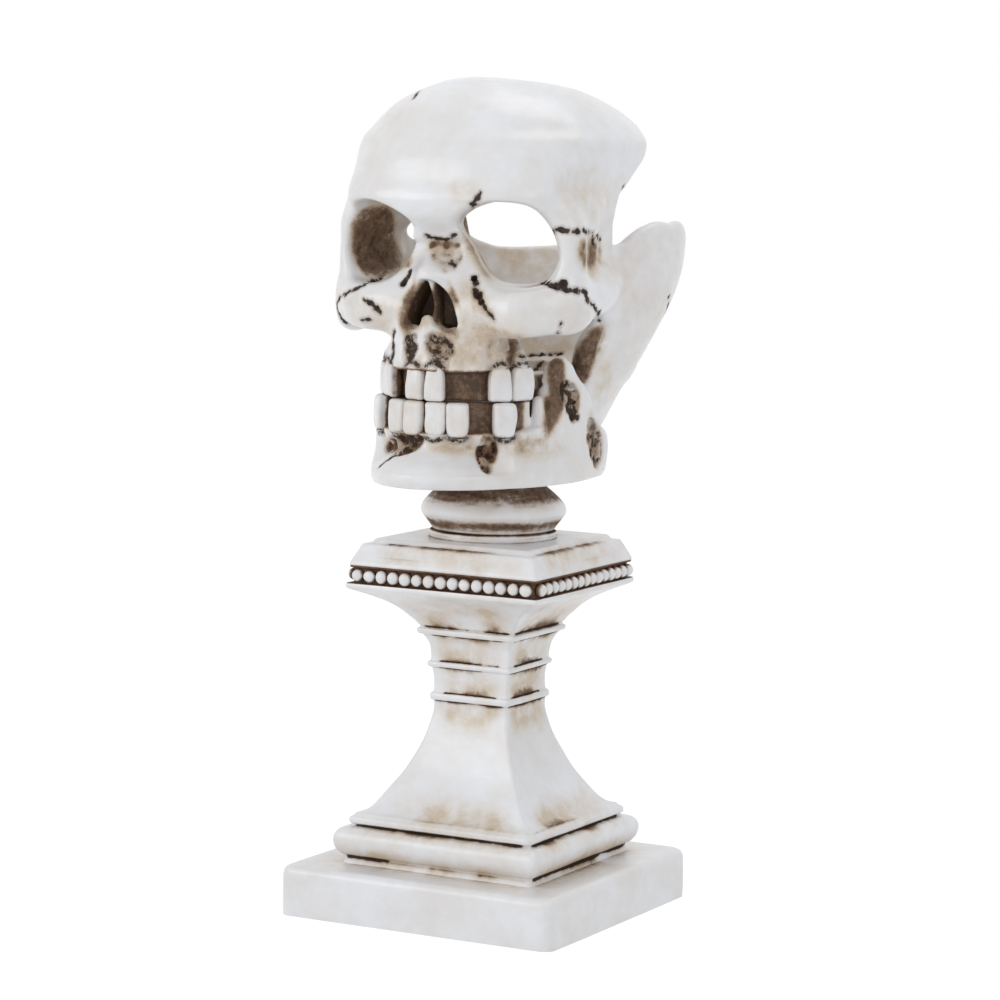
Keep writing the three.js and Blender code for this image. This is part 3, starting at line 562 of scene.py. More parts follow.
def tooth_place(row, count):
    """A tooth's foot on its arch: place, and the turn that faces it outwards."""
    side = 1 if row.endswith("left") else -1
    half = ARCH_HALF[arch_of(row)]
    angle = side * (count - 1 + TOOTH_OFFSET) * TOOTH_PITCH
    place = half * math.sin(angle), ARCH_Y - ARCH_LENGTH * math.cos(angle)
    return place, math.atan2(ARCH_LENGTH * math.sin(angle), half * math.cos(angle))


def tooth_axes(row, count, x, y):
    """How far along its arch, and how far outwards, places lie from a tooth's foot."""
    (px, py), facing = tooth_place(row, count)
    c, s = math.cos(facing), math.sin(facing)
    return (x - px) * c + (y - py) * s, (x - px) * s - (y - py) * c


def tooth_rise(row, z):
    """How far up a tooth heights lie: 0 at the bite and 1 at the gum."""
    low, high = TOOTH_SPAN[arch_of(row)]
    return ((z - low) if arch_of(row) == "upper" else (high - z)) / (high - low)


def tooth_width(row, count):
    """Room for a tooth along its arch."""
    angle = (count - 1 + TOOTH_OFFSET) * TOOTH_PITCH
    return TOOTH_PITCH * math.hypot(ARCH_HALF[arch_of(row)] * math.cos(angle), ARCH_LENGTH * math.sin(angle))


def gum_roots(arch, steps):
    """The gum over each tooth's root: the tooth's foot, and a path from it into the bone.

    Each step says how far inwards it lies, what share of the foot's place it keeps, and its height.
    """
    for side in ("left", "right"):
        for count in range(1, 6):
            (px, py), facing = tooth_place(f"{arch}_{side}", count)
            nx, ny = math.sin(facing), -math.cos(facing)
            yield px, py, [(px * wide - nx * inward, py * deep - ny * inward, z) for inward, wide, deep, z in steps]


# The skull in clay

def skull_mass(clay):
    """The skull's shell above the jaw: crown, temples, bowl and face, hollow, with the candle's floor."""
    z = clay.z
    crown = common(oval(clay, DOME, swollen=True), skull_z(CROWN_FOOT) - z, 2)
    temples = overlap(oval(clay, TEMPLES), skull_z(TEMPLE_FOOT) - z, z - skull_z(TEMPLE_TOP))
    bowl = np.maximum(oval(clay, BOWL), z - skull_z(BOWL_TOP))
    front = overlap(oval(clay, FACE, swollen=True), UPPER_GUM - z, z - skull_z(FACE_TOP))
    whole = joined(joined(joined(crown, temples, 3), bowl, 3), front, 2.5)
    # the hollow keeps a wall's distance from the same forms without their swellings
    hollow = np.maximum(oval(clay, DOME), skull_z(CROWN_FOOT) - z) + WALL
    hollow = joined(joined(hollow, temples + WALL, 4), bowl + WALL, 4)
    hollow = joined(hollow, np.maximum(oval(clay, FACE), z - skull_z(FACE_HOLLOW_TOP)) + WALL, 3)
    clay.inner = common(hollow, SEAT - z, 1.5)
    # the open sides under the cheekbones, and the floor below them
    shell = without(without(whole, clay.inner, 1.5), Outline(WALL_FRONT).at(clay.y, z), 2.5)
    seat = np.maximum(common(bowl, z - SEAT, 1.2), JAW_FLOOR + 0.5 - z)
    clay.field = joined(np.maximum(shell, SEAT - 3 - z), seat, 1.0).astype(np.float32)


def face_forms(clay):
    """Adds the cheekbones, struts, sockets, nose and gums, and bores the openings."""
    for side in (1, -1):
        wide = side if side > 0 else side * FAR_CHEEK
        cheek = [(wide * a * HALF_WIDTH, skull_y(b), skull_z(c)) for a, b, c in CHEEK_PATH]
        strut = sided(wide, [place for place, _ in STRUT])
        for low, high, form, how, blend in (
            # the thick front end of the side wall, the cheekbone and its strut
            ((20, -6, 150), (38, 8, 176), bar(sided(side, WALL_END), (2.4, 3.3, 3)), joined, 1.5),
            ((8, -44, 158), (46, 24, 200), bar(cheek, CHEEK_HALF, (1, 1, 0.71)), joined, 5),
            ((8, -36, 168), (46, -6, 213), bar(strut, [half for _, half in STRUT], (1.1, 1.05, 1)), joined, 4),
            # the bone at the strut's rear, and the dent in the temple
            ((8, -34, 172), (46, 4, 212), ball((side * 31.5, -16, 191.5), (5.4, 10.5, 14)), joined, 4),
            ((8, -32, 190), (46, 10, 214), ball((side * 30, -12, 203), (6.6, 14, 8)), joined, 4),
            ((8, -28, 176), (46, 6, 208), ball((side * 41.5, -12.8, 190.8), (7, 6.4, 7.4)), without, 3),
        ):
            clay.change(*mirrored(side, low, high), form, how, blend)
        # the socket's wall, down to a little inside the hollow
        window = mirrored(side, (2, -46, 174), (52, -2, 214))
        socket, inner = orbit_bore(side, 3.7, 0, 13), clay.inner[clay.window(*window)[0]] - 1.5
        clay.change(*window, lambda x, y, z: np.maximum(socket(x, y, z), inner), joined, 1.5)
    pear, septum = nose_outline(), ((0, -35.5, 167), (0.3, -34, 176), (0, -36.5, 184))
    spine = ((0, -38.5, 164), (0, -40, 168.5), (0.2, -40.6, 172))
    for low, high, form, how, blend in (
        # the far cheek's lump, then the nose's chamber, its opening, the septum and the spine
        ((-46, -34, 160), (-26, -8, 180), ball((-35.4, -20, 171), (4.6, 6, 4.4)), joined, 3),
        ((-20, -44, 160), (20, -10, 196), ball((0, -27, skull_z(NOSE_HEIGHT)), (12.5, 11, 12.5)), joined, 2),
        ((-16, -60, 160), (16, -22, 192),
         lambda x, y, z: np.maximum(pear.at(x, z), y - NOSE_FLOOR_Y), without, 1.2),
        ((-4, -42, 166), (4, -24, 188), bar(septum, (1.1, 0.65, 0.9), (1, 0.4, 1)), joined, 1.2),
        ((-6, -46, 162), (6, -30, 178), bar(spine, (2.4, 2.1, 1.3)), joined, 1.6),
    ):
        clay.change(low, high, form, how, blend)
    # the gum over each upper tooth, and the wall that the teeth stand on
    for px, py, root in gum_roots("upper", ((2.2, 1, 1, 160), (3.4, 1, 1, 163.5), (3, 0.84, 0.96, 169))):
        clay.change((px - 9, py - 8, 158.8), (px + 9, py + 10, 174), bar(root, (2.6, 2.1, 1)), joined, 2.4)
    wall = arch_wall("upper", BITE + 0.15, UPPER_GUM + 5)
    clay.change((-30, -46, 149), (30, -20, 165), wall, joined, 0.8)
    for side in (1, -1):
        clay.change((-60, -60, 170), (60, 40, 214), orbit_bore(side, 0, -25, 34), without, 2.6)
    for side in (1, -1):
        between = bar(sided(side, BETWEEN_SOCKETS), (2, 2.4, 2.6, 2.4))
        clay.change((-14, -36, 178), (14, -14, 208), between, joined, 1.2)


def skull_cuts(clay):
    """The broken edge, the tea light's recess, the dowel's bore and the level joints."""
    wobble = clay.noise(5, 3) * 0.35 + clay.noise(13, 4) * 0.5
    clay.field = without(clay.field, broken_away(clay) + wobble, 2.2)
    x, y, z = clay.x, clay.y, clay.z
    recess = np.maximum(np.sqrt(x * x + (y - RECESS_Y) ** 2) - RECESS_RADIUS, RECESS_FLOOR - z)
    clay.field = without(clay.field, recess.astype(np.float32), 0.8)
    clay.field = np.maximum(clay.field, DOWEL_BORE - np.maximum(np.sqrt(x * x + y * y), z - DOWEL_TOP + DOWEL_BORE))
    clay.field += (clay.noise(17, 8) * 0.22 + clay.noise(9, 5) * 0.12 + clay.noise(3.2, 6) * 0.03).astype(np.float32)


# Cracks as the photograph shows them: pixels along each, then its half width in millimetres
CRACKS = {
    "crown": ([(423, 87), (419, 91), (414, 98)], 0.3),
    "forehead": ([(480, 192), (478, 197), (475, 201), (474, 207), (472, 212)], 0.45),
    "forehead twig": ([(476, 200), (471, 204)], 0.35),
    "nasion": ([(426, 235), (433, 238), (441, 239), (449, 239), (457, 234)], 0.4),
    "brow 1": ([(553, 231), (560, 230), (568, 231)], 0.5),
    "brow 2": ([(572, 232), (577, 231)], 0.5),
    "brow 3": ([(583, 231), (592, 233)], 0.5),
    "brow 4": ([(596, 236), (600, 240)], 0.5),
    "brow curl": ([(592, 236), (593, 243), (596, 247)], 0.3),
    "cheek blob": ([(545, 283), (551, 285), (557, 286), (563, 284)], 0.8),
    "cheek suture": ([(557, 287), (566, 290), (577, 291), (584, 292)], 0.45),
    "cheek drop": ([(585, 293), (588, 301), (595, 307), (598, 313), (600, 321)], 0.5),
    "nose side 1": ([(474, 278), (476, 284)], 0.7),
    "nose side 2": ([(474, 289), (478, 295), (481, 302)], 0.8),
    "nose side 3": ([(484, 307), (489, 313), (495, 319)], 0.3),
    "far cheek": (
        [(380, 279), (368, 283), (356, 289), (345, 294), (339, 299), (337, 306), (340, 316), (347, 324)], 0.4),
    "far cheek mark": ([(364, 299), (370, 303), (378, 309), (381, 313)], 0.45),
    "far cheek dash": ([(362, 320), (371, 319)], 0.3),
    "beside nose": ([(410, 273), (407, 278), (404, 284)], 0.8),
    "far maxilla": ([(395, 330), (393, 340), (394, 352), (391, 362)], 0.4),
    "bowl wall": ([(520, 357), (533, 356), (548, 355), (562, 354)], 0.3),
    "bowl wall twig": ([(543, 362), (538, 367), (533, 372)], 0.3),
    "cheek pit 1": ([(561, 323), (560, 326)], 0.35),
    "cheek pit 2": ([(558, 331), (558, 333)], 0.35),
    "lobe pit": ([(669, 297), (668, 298)], 0.3),
    "crown pit": ([(623, 187), (626, 188)], 0.4),
}
JAW_CRACKS = {
    "chin slant": ([(421, 438), (412, 446), (400, 452), (388, 460), (381, 465)], 0.45),
    "jaw branch": ([(563, 384), (566, 392), (571, 399), (574, 408), (578, 418)], 0.35),
}
# Rough eaten patches: pixels round each one's outline, and how deep it is
PATCHES = {
    "under nose left": ([(405, 336), (413, 334), (415, 345), (411, 356), (407, 360), (405, 350)], 0.9),
    "under nose right": (
        [(428, 338), (440, 335), (450, 343), (453, 352), (446, 360), (443, 373), (436, 362), (428, 348)], 1.1),
    "nasal root": ([(434, 244), (456, 244), (460, 256), (452, 268), (441, 268), (434, 256)], 0.35),
}
JAW_PATCHES = {
    "chin": ([(387, 447), (398, 437), (412, 436), (421, 440), (412, 449), (398, 453)], 0.9),
    "under gap": ([(487, 437), (493, 446), (492, 458), (487, 471), (480, 459), (481, 447)], 1.1),
    "branch": ([(563, 385), (569, 383), (577, 392), (578, 405), (574, 421), (569, 410), (564, 397)], 0.8),
    "jaw corner": ([(589, 421), (595, 423), (601, 437), (602, 455), (597, 466), (592, 455), (589, 438)], 1.0),
}
# Brown stains and painted shade: pixels round each one's outline, and how strong it is; the weak ones only tint,
# painting shade in hollows and on sides turned from the light
STAINS_AND_SHADE = (
    ([(354, 218), (367, 207), (388, 205), (393, 218), (395, 241), (405, 252), (414, 261), (404, 271), (383, 275),
      (364, 272), (354, 258), (352, 237)], 0.85),
    ([(459, 225), (464, 241), (472, 258), (483, 274), (493, 281), (488, 271), (479, 257), (473, 243),
      (467, 228)], 0.5),
    ([(418, 281), (429, 294), (427, 317), (418, 330), (405, 333), (401, 320), (405, 298)], 0.9),
    ([(432, 288), (447, 301), (455, 317), (456, 333), (447, 336), (437, 326), (430, 317), (431, 301)], 0.95),
    ([(580, 242), (588, 236), (600, 242), (602, 253), (594, 266), (585, 270), (580, 258)], 0.95),
    ([(605, 325), (591, 333), (580, 349), (571, 367), (576, 382), (585, 382), (591, 367), (600, 348)], 1.2),
    ([(526, 372), (551, 367), (573, 363), (570, 377), (548, 378), (532, 377)], 0.5),
    ([(518, 343), (560, 338), (583, 344), (572, 360), (524, 366)], 0.22),
    ([(507, 339), (526, 336), (517, 348), (513, 363), (509, 358)], 0.85),
    ([(538, 378), (564, 377), (562, 393), (561, 412), (547, 437), (544, 412)], 1.1),
    ([(429, 238), (459, 241), (459, 253), (447, 263), (437, 271), (432, 260)], 0.14),
    ([(491, 329), (510, 332), (513, 355), (497, 361), (485, 339)], 0.3),
    ([(458, 284), (478, 287), (497, 318), (485, 331), (462, 322)], 0.2),
    ([(452, 335), (480, 322), (512, 336), (520, 352), (508, 372), (462, 372), (450, 355)], 0.22),
    ([(500, 268), (540, 284), (556, 268), (553, 244), (500, 248)], 0.12),
    ([(578, 190), (606, 188), (608, 216), (590, 222)], 0.16),
    ([(604, 264), (618, 268), (624, 292), (612, 290)], 0.22),
    ([(596, 362), (612, 366), (606, 400), (596, 408)], 0.24),
    ([(618, 240), (650, 226), (684, 236), (680, 262), (655, 330), (612, 400), (606, 360), (622, 300)], 0.06),
    ([(404, 356), (450, 352), (452, 372), (400, 373)], 0.18),
    ([(530, 292), (575, 296), (596, 318), (575, 333), (520, 331), (500, 318)], 0.06),
    ([(560, 170), (606, 172), (606, 226), (566, 226), (556, 200)], 0.08),
    ([(392, 300), (400, 290), (392, 330), (368, 327), (372, 300)], 0.14),
    ([(338, 292), (375, 300), (372, 322), (345, 318)], 0.14),
    ([(452, 182), (478, 186), (470, 204), (452, 200)], 0.16),
    ([(474, 280), (484, 298), (490, 314), (482, 312), (470, 290)], 0.28),
)
# The same on the jaw: brown wash where strong, painted shade where weak
JAW_STAINS_AND_SHADE = (
    ([(545, 398), (561, 395), (560, 414), (547, 438), (544, 425)], 1.1),
    ([(550, 364), (562, 360), (564, 385), (560, 412), (551, 398)], 1.2),
    ([(425, 440), (480, 438), (478, 452), (440, 455)], 0.2),
    ([(497, 436), (560, 440), (556, 458), (505, 455)], 0.24),
    ([(507, 434), (540, 436), (546, 446), (523, 453), (504, 444)], 0.3),
    ([(385, 434), (420, 437), (414, 447), (392, 452)], 0.3),
    ([(430, 438), (478, 440), (474, 450), (434, 450)], 0.14),
    ([(567, 379), (578, 384), (577, 412), (571, 418), (565, 393)], 0.4),
    ([(589, 410), (600, 424), (602, 443), (595, 462), (589, 443)], 0.4),
)
# Cracks on the sides that the photograph doesn't show: the direction that each is seen along, its points
# and its half width in millimetres
BACK_CRACKS = (
    ((0, -1, 0), [(12, 100, 182), (9, 100, 176), (11, 100, 170), (7, 100, 163)], 0.4),
    ((0, -1, 0), [(-18, 100, 178), (-21, 100, 171), (-19, 100, 166)], 0.4),
    ((1, 0, 0), [(-100, 22, 186), (-100, 26, 180), (-100, 24, 174), (-100, 29, 168)], 0.4),
    ((1, 0, 0), [(-100, -12, 226), (-100, -6, 222), (-100, 1, 223), (-100, 7, 218)], 0.35),
    ((-1, 0, 0), [(100, 34, 176), (100, 37, 170), (100, 35, 164)], 0.35),
)


def shade_from(clay, shades):
    """Stains what the photograph shows brown, and paints shade where it shows shade, inside outlines in its pixels.
    """
    paint = np.zeros(clay.shape, np.float32)
    for outline, strength in shades:
        outline = Outline(spline(outline, closed=True, pieces=3), 2, 1.5)
        inside = np.argwhere(outline.table < 0)
        where, hit = clay.hit(*photo_rays(inside * outline.cell + outline.low))
        i, j, k = np.round((where[hit] - clay.low) / clay.step).astype(int).T
        paint[i, j, k] = np.maximum(paint[i, j, k], strength)
    clay.stain_and_shade = np.maximum(clay.stain_and_shade, np.clip(clay.blurred(paint, 1.1) * 6.5, 0, 1))


def tooth_rims(clay, arch):
    """Draws the dark line that runs round each tooth of an arch where it meets the gum."""
    gum, up = (UPPER_GUM, 1) if arch == "upper" else (LOWER_GUM, -1)
    for row in (arch + "_left", arch + "_right"):
        for count in TEETH[row]:
            (px, py), half = tooth_place(row, count)[0], tooth_width(row, count) / 2
            cut, x, y, z = clay.window((px - 7, py - 7, gum - 3), (px + 7, py + 7, gum + 4))
            across, outwards = tooth_axes(row, count, x, y)
            rim = np.sqrt((across / half) ** 2 + ((z - gum + up * 1.4) / 3.2) ** 2) - 1
            line = np.abs(rim) * 3 - 0.45 + 2 * np.maximum(0, -outwards - 2.5)
            off_gum = 0.05 + 0.5 * (1 - stepped(z * up, gum * up - 0.5, gum * up + 0.5))
            clay.crack[cut] = np.minimum(clay.crack[cut], np.maximum(line, off_gum))


def soil_skull(clay):
    """Stains and paints shade where the photograph shows them, stains the same places on the other side, and the gap
    behind the teeth.
    """
    shade_from(clay, STAINS_AND_SHADE)
    for side in (1, -1):
        bore, wall = orbit_bore(side, 1.2, -2, 30), ball((side * 31, -20, 193), (8, 8.5, 13))
        clay.soil(*mirrored(side, (22, -36, 178), (38, -6, 208)),
                  lambda x, y, z: overlap(bore(x, y, z), wall(x, y, z), -25 - y), 0.95, 1.2)
        # darkens the bone between the sockets
        clay.soil((-14, -36, 178), (14, -10, 206), bar(sided(side, SOCKET_DARKENING), (4.4, 4.4, 4)), 0.5, 1.5)
    pear = nose_outline()
    clay.soil((-14, -40, 164), (14, -14, 192),
              lambda x, y, z: np.maximum(pear.at(x, z) - 1.5, np.where(z < 172, -35.5, -38) - y), 1.25, 1.2)
    clay.soil((-32, -46, 149), (32, -18, 159.5), lambda x, y, z: np.maximum(z - UPPER_GUM + 0.2, -1), 1.0, 0.4)
    tooth_rims(clay, "upper")


def soil_jaw(clay):
    """Stains the gap behind the lower teeth and the inside of the jaw."""
    clay.soil((-32, -46, 141), (32, -19.5, 160),
              lambda x, y, z: np.maximum(LOWER_GUM + 0.2 - z, np.abs(x) - 21.5), 1.0, 0.6)
    room = overlap(oval(clay, JAW_SIDES) + 5, LOWER_GUM - 6 - clay.z, clay.y + 6)
    clay.stain_and_shade = np.maximum(clay.stain_and_shade, (0.95 * (1 - stepped(room, -1, 1))).astype(np.float32))
    # brown stains, and painted shade where the outlines are weak
    shade_from(clay, JAW_STAINS_AND_SHADE)
    tooth_rims(clay, "lower")


def eat_patch(clay, grain, outline, depth):
    """Eats a rough patch into the surface, inside an outline in the photograph's pixels."""
    outline = np.array(outline, float)
    centre = outline.mean(0)
    ring = spline(outline, closed=True, pieces=4) - centre
    where, hit = clay.hit(*photo_rays(np.vstack([centre + ring * s for s in (0.12, 0.3, 0.5, 0.68, 0.84, 0.95)])))
    where = where[hit]
    if not len(where):
        return
    where = where[np.linalg.norm(where - np.median(where, axis=0), axis=1) < 16]
    cut, x, y, z = clay.window(where.min(0) - 2.5, where.max(0) + 2.5)
    near = np.full(clay.field[cut].shape, 1e3, np.float32)
    for p in where:
        near = np.minimum(near, (x - p[0]) ** 2 + (y - p[1]) ** 2 + (z - p[2]) ** 2)
    mask = 1 - stepped(np.sqrt(near), 0.7, 1.7)
    clay.field[cut] += mask * np.clip(0.75 + 0.55 * grain[cut], 0, 1.6) * depth
    dark, stain_and_shade = (1.5, 0.42) if depth > 0.6 else (1.12, 0.2)
    dark = dark + 0.36 * np.clip(grain[cut], -1.5, 1.8)
    clay.crack[cut] = np.minimum(clay.crack[cut], 1.5 - mask * dark)
    clay.stain_and_shade[cut] = np.maximum(clay.stain_and_shade[cut], stain_and_shade * mask)


def mark(clay, seed, cracks, patches, unseen=()):
    """Cuts the cracks and eaten patches into the surface."""
    chance = np.random.default_rng(seed)
    rays = [(photo_rays(even(spline(line), 1.2)), half) for line, half in cracks.values()]
    for direction, line, half in unseen:
        points = even(spline(line), 0.4)
        rays.append(((points, np.repeat(np.array([direction], float), len(points), 0)), half))
    found = []
    for (origins, along), half in rays:
        where, hit = clay.hit(origins, along)
        found.append((where[hit], half))
    grain = clay.noise(1.3, seed + 1)
    for outline, depth in patches.values():
        eat_patch(clay, grain, outline, depth)
    for where, half in found:
        if len(where):
            # the crack swells and closes along its way
            run = np.arange(len(where)) * 0.35 + chance.random() * 9
            beat = (0.62 + 0.3 * np.sin(run * 2.3) + 0.22 * np.sin(run * 5.1 + 1)
                    + 0.3 * (chance.random(len(where)) - 0.5))
            clay.scratch(where + chance.normal(0, 0.14, where.shape), half * np.clip(1.25 * beat, 0.42, 1.6))


def wash_and_shade_at(clay, points):
    """What lies on each point: a cream tint in wide hollows, partly painted shade, more of it on the shell's inside;
    wash in narrow ones; and the way to a crack.
    """
    solid = np.clip(0.5 - clay.field / (2 * clay.step), 0, 1).astype(np.float32)
    # how much resin lies round each point beyond the half that lies round a flat place
    fine, wide, broad = (clay.sample(clay.blurred(solid, radius), points) - 0.5 for radius in (0.8, 2.6, 6.5))
    stain_and_shade, crack = clay.sample(clay.stain_and_shade, points), clay.sample(clay.crack, points)
    wash = 0.5 * stepped(fine, 0.04, 0.26) + 0.75 * stepped(wide, 0.05, 0.3) + stain_and_shade
    # painted shade: the cream tint darkens wide hollows and the places that weak outlines mark, as ambient shade
    # would
    tint = 0.55 * stepped(broad, -0.1, 0.2) + 0.6 * stepped(wide, -0.02, 0.2) + 2.2 * stain_and_shade
    if clay.inner is not None:
        tint = tint + 0.34 * (1 - stepped(clay.sample(clay.inner, points), 0.6, 1.8))
    return {"tint": np.clip(tint, 0, 1.2), "wash": np.clip(wash, 0, 1.4), "crack": np.clip(crack, -1, 4)}


def linked(name, data):
    """A new object in the scene."""
    made = bpy.data.objects.new(name, data)
    bpy.context.scene.collection.objects.link(made)
    return made


def evaluated_mesh(made):
    """The mesh that an object's modifiers give."""
    return bpy.data.meshes.new_from_object(made.evaluated_get(bpy.context.evaluated_depsgraph_get()))


def mesh_of(name, points, faces, attributes=None):
    """A mesh object in metres from points in millimetres."""
    mesh = bpy.data.meshes.new(name)
    faces = [face for block in faces for face in np.asarray(block).tolist()]
    mesh.from_pydata((np.asarray(points) * MM).tolist(), [], faces)
    mesh.update()
    for key, values in (attributes or {}).items():
        layer = mesh.attributes.new(key, "FLOAT", "POINT")
        layer.data.foreach_set("value", np.asarray(values, np.float32))
    mesh.shade_smooth()
    return linked(name, mesh)


def outward(made):
    """Turns a closed mesh's faces outwards."""
    bm = bmesh.new()
    bm.from_mesh(made.data)
    if bm.calc_volume(signed=True) < 0:
        bmesh.ops.reverse_faces(bm, faces=bm.faces)
        bm.to_mesh(made.data)
    bm.free()
    return made


def cut_piece(source, name, planes):
    """A copy of a mesh, cut by planes of (point, normal of the side that goes) and closed with flat faces."""
    bm = bmesh.new()
    bm.from_mesh(source.data)
    for point, normal in planes:
        bmesh.ops.bisect_plane(bm, geom=bm.verts[:] + bm.edges[:] + bm.faces[:], dist=2e-6,
                               plane_co=[v * MM for v in point], plane_no=normal, clear_outer=True)
        rim = [edge for edge in bm.edges if edge.is_boundary]
        if rim:
            made = bmesh.ops.triangle_fill(bm, use_beauty=True, edges=rim, normal=normal)
            for face in (item for item in made["geom"] if isinstance(item, bmesh.types.BMFace)):
                face.smooth = False
                if face.normal.dot(normal) < 0:
                    face.normal_flip()
            for edge in rim:
                edge.smooth = False
    mesh = bpy.data.meshes.new(name)
    bm.to_mesh(mesh)
    bm.free()
    return linked(name, mesh)


def thinned(made, share):
    """Collapses a mesh to a share of its triangles."""
    made.modifiers.new("thin", "DECIMATE").ratio = share
    mesh = evaluated_mesh(made)
    made.modifiers.clear()
    made.data = mesh


# The jaw and the teeth

def jaw_mass(clay):
    """The lower jaw: its body and floor, its branches, and the wall behind its teeth."""
    x, y, z = clay.x, clay.y, clay.z
    outer, sides = oval(clay, JAW), oval(clay, JAW_SIDES)
    body = overlap(without(outer, np.maximum(outer + 6.5, JAW_FLOOR - z), 1.5), z - LOWER_GUM, y + 20)
    plate = overlap(outer, z - JAW_FLOOR, y - 12.2)
    outline = Outline(spline([(skull_y(a), float(skull_z(b))) for a, b in RAMUS], closed=True, pieces=3), 30)
    branch = common(np.maximum(sides, -sides - 6), outline.at(y, z) - 0.8, 2.2)
    clay.field = joined(joined(body, branch, 4), plate, 1.5)
    for px, py, root in gum_roots("lower", ((3.3, 1, 1, 140.2), (5.6, 1, 1, 137.4), (5, 0.84, 0.92, 132))):
        gum = bar(root, (2.5, 2.1, 0.8))
        clay.change((px - 7, py - 7, 130), (px + 7, py + 7, 141.2),
                    lambda x, y, z: np.maximum(gum(x, y, z), z - LOWER_GUM), joined, 2)
    clay.field = joined(clay.field, arch_wall("lower", LOWER_GUM - 5, BITE - 0.15)(x, y, z), 0.8)
    for side in (1, -1):
        # the swelling and the pillar at the end of the row of teeth
        pillar = sided(side, ((23.2, -18.4, 140.5), (23.9, -18.6, 145), (23.4, -18.2, 149.5)))
        clay.change(*mirrored(side, (15, -20, 138), (31, -6, 160)),
                    ball((side * 24, -13.5, 148), (5.5, 3.6, 10.5)), joined, 1.0)
        clay.change(*mirrored(side, (18, -24, 138), (29, -13, 153)), bar(pillar, (2.4, 2.2, 1.7)), joined, 0.8)
    jaw = without(np.maximum(clay.field, SKULL_BASE - z), np.maximum(158.4 - z, y + 30.4), 0.6)
    bowl = joined(oval(clay, BOWL), np.maximum(oval(clay, TEMPLES), skull_z(TEMPLE_FOOT) - z), 3) - 0.35
    jaw = np.where(z > JAW_FLOOR, np.maximum(jaw, -bowl), jaw)
    jaw = np.maximum(jaw, DOWEL_BORE - np.sqrt(x ** 2 + y ** 2))
    jaw = jaw + clay.noise(7, 15) * 0.08 * (z > 128) + clay.noise(2.8, 16) * 0.03 * (z > 128)
    clay.field = np.maximum(jaw.astype(np.float32), SKULL_BASE - z)


def tooth_clay(row, count, seed):
    """One blocky tooth with rounded edges, on its own small grid."""
    (px, py), (low, high) = tooth_place(row, count)[0], TOOTH_SPAN[arch_of(row)]
    chance = np.random.default_rng(seed)
    tooth = Clay((px - 6, py - 6, low - 1.2), (px + 6, py + 6, high + 1.2), TOOTH_GRID)
    across, outwards = tooth_axes(row, count, tooth.x, tooth.y)
    rise = tooth_rise(row, tooth.z)
    half = tooth_width(row, count) / 2 - 0.1 - 0.15 * chance.random() - 0.35 * stepped(rise, 0.45, 1.05)
    crown = 0.4 * np.sin(np.clip(rise, 0, 1) * math.pi)
    bend = np.where(rise > 0.5, 2.3, 1.0)
    p = np.abs(across) - half + bend
    r = np.abs(tooth.z - (low + high) / 2) - (high - low) / 2 + bend
    shape = np.sqrt(np.maximum(p, 0) ** 2 + np.maximum(r, 0) ** 2) + np.minimum(np.maximum(p, r), 0) - bend
    away = common(shape, np.abs(outwards + 1.7) - 1.9 - crown, 1.5)
    tooth.field = (away + tooth.noise(2.6, seed) * 0.09).astype(np.float32)
    return tooth


def tooth_wash_and_shade(row, count, points):
    """The wash on a tooth, with a cream tint that is partly painted shade: at its gum end, at its back and between it
    and its neighbours.
    """
    across, outwards = tooth_axes(row, count, points[:, 0], points[:, 1])
    rise, side = tooth_rise(row, points[:, 2]), np.abs(across) / (tooth_width(row, count) / 2)
    wash = (0.7 * stepped(rise, 0.8, 1.0) + 0.9 * stepped(-outwards, 1.2, 2.4)
            + 0.5 * stepped(side, 0.9, 1.02) + 0.3 * stepped(-rise, -0.05, 0.02))
    crack = (1.4 - 1.5 * stepped(rise, 0.88, 0.98)
             - 1.3 * stepped(-outwards, 1.5, 3.0) * stepped(side, 0.7, 0.95))
    # the tint follows the wash: painted shade where the gum overhangs the tooth and between teeth, besides the brown
    # wash
    return {"tint": np.clip(0.25 + 0.5 * wash, 0, 1), "wash": np.clip(wash, 0, 1), "crack": crack}


# Materials

class Value:
    """A number from a node, for maths written as plain expressions."""

    def __init__(self, nodes, socket):
        self.nodes, self.socket = nodes, socket

    def maths(self, operation, *others):
        return self.nodes.node("ShaderNodeMath", {"operation": operation}, dict(enumerate((self, *others))))

    def __add__(self, other):
        return self.maths("ADD", other)

    def __mul__(self, other):
        return self.maths("MULTIPLY", other)

    def __sub__(self, other):
        return self.maths("SUBTRACT", other)

    def __rsub__(self, other):
        return self.nodes.node("ShaderNodeMath", {"operation": "SUBTRACT"}, {0: other, 1: self})

    __radd__, __rmul__ = __add__, __mul__

    def clamped(self):
        return self.nodes.node("ShaderNodeClamp", {}, {0: self, 1: 0.0, 2: 1.0})

    def between(self, low, high):
        """0 below the first value and 1 above the second."""
        smooth = {"interpolation_type": "SMOOTHSTEP"}
        return self.nodes.node("ShaderNodeMapRange", smooth, {0: self, 1: low, 2: high})


class Nodes:
    """A tree that is built node by node."""

    def __init__(self, tree):
        self.tree = tree
        tree.nodes.clear()

    def node(self, kind, settings, inputs, output=0):
        """Adds a node with its settings and inputs, and gives one of its outputs."""
        made = self.tree.nodes.new(kind)
        for key, value in settings.items():
            setattr(made, key, value)
        for key, value in inputs.items():
            if isinstance(value, Value):
                self.tree.links.new(value.socket, made.inputs[key])
            else:
                made.inputs[key].default_value = value
        return Value(self, made.outputs[output]) if len(made.outputs) else made

    def shown(self):
        """1 for what is seen by the camera, in a mirror or through glass."""
        rays = (self.node("ShaderNodeLightPath", {}, {}, f"Is {ray} Ray")
                for ray in ("Camera", "Glossy", "Transmission"))
        return functools.reduce(lambda first, other: first.maths("MAXIMUM", other), rays)


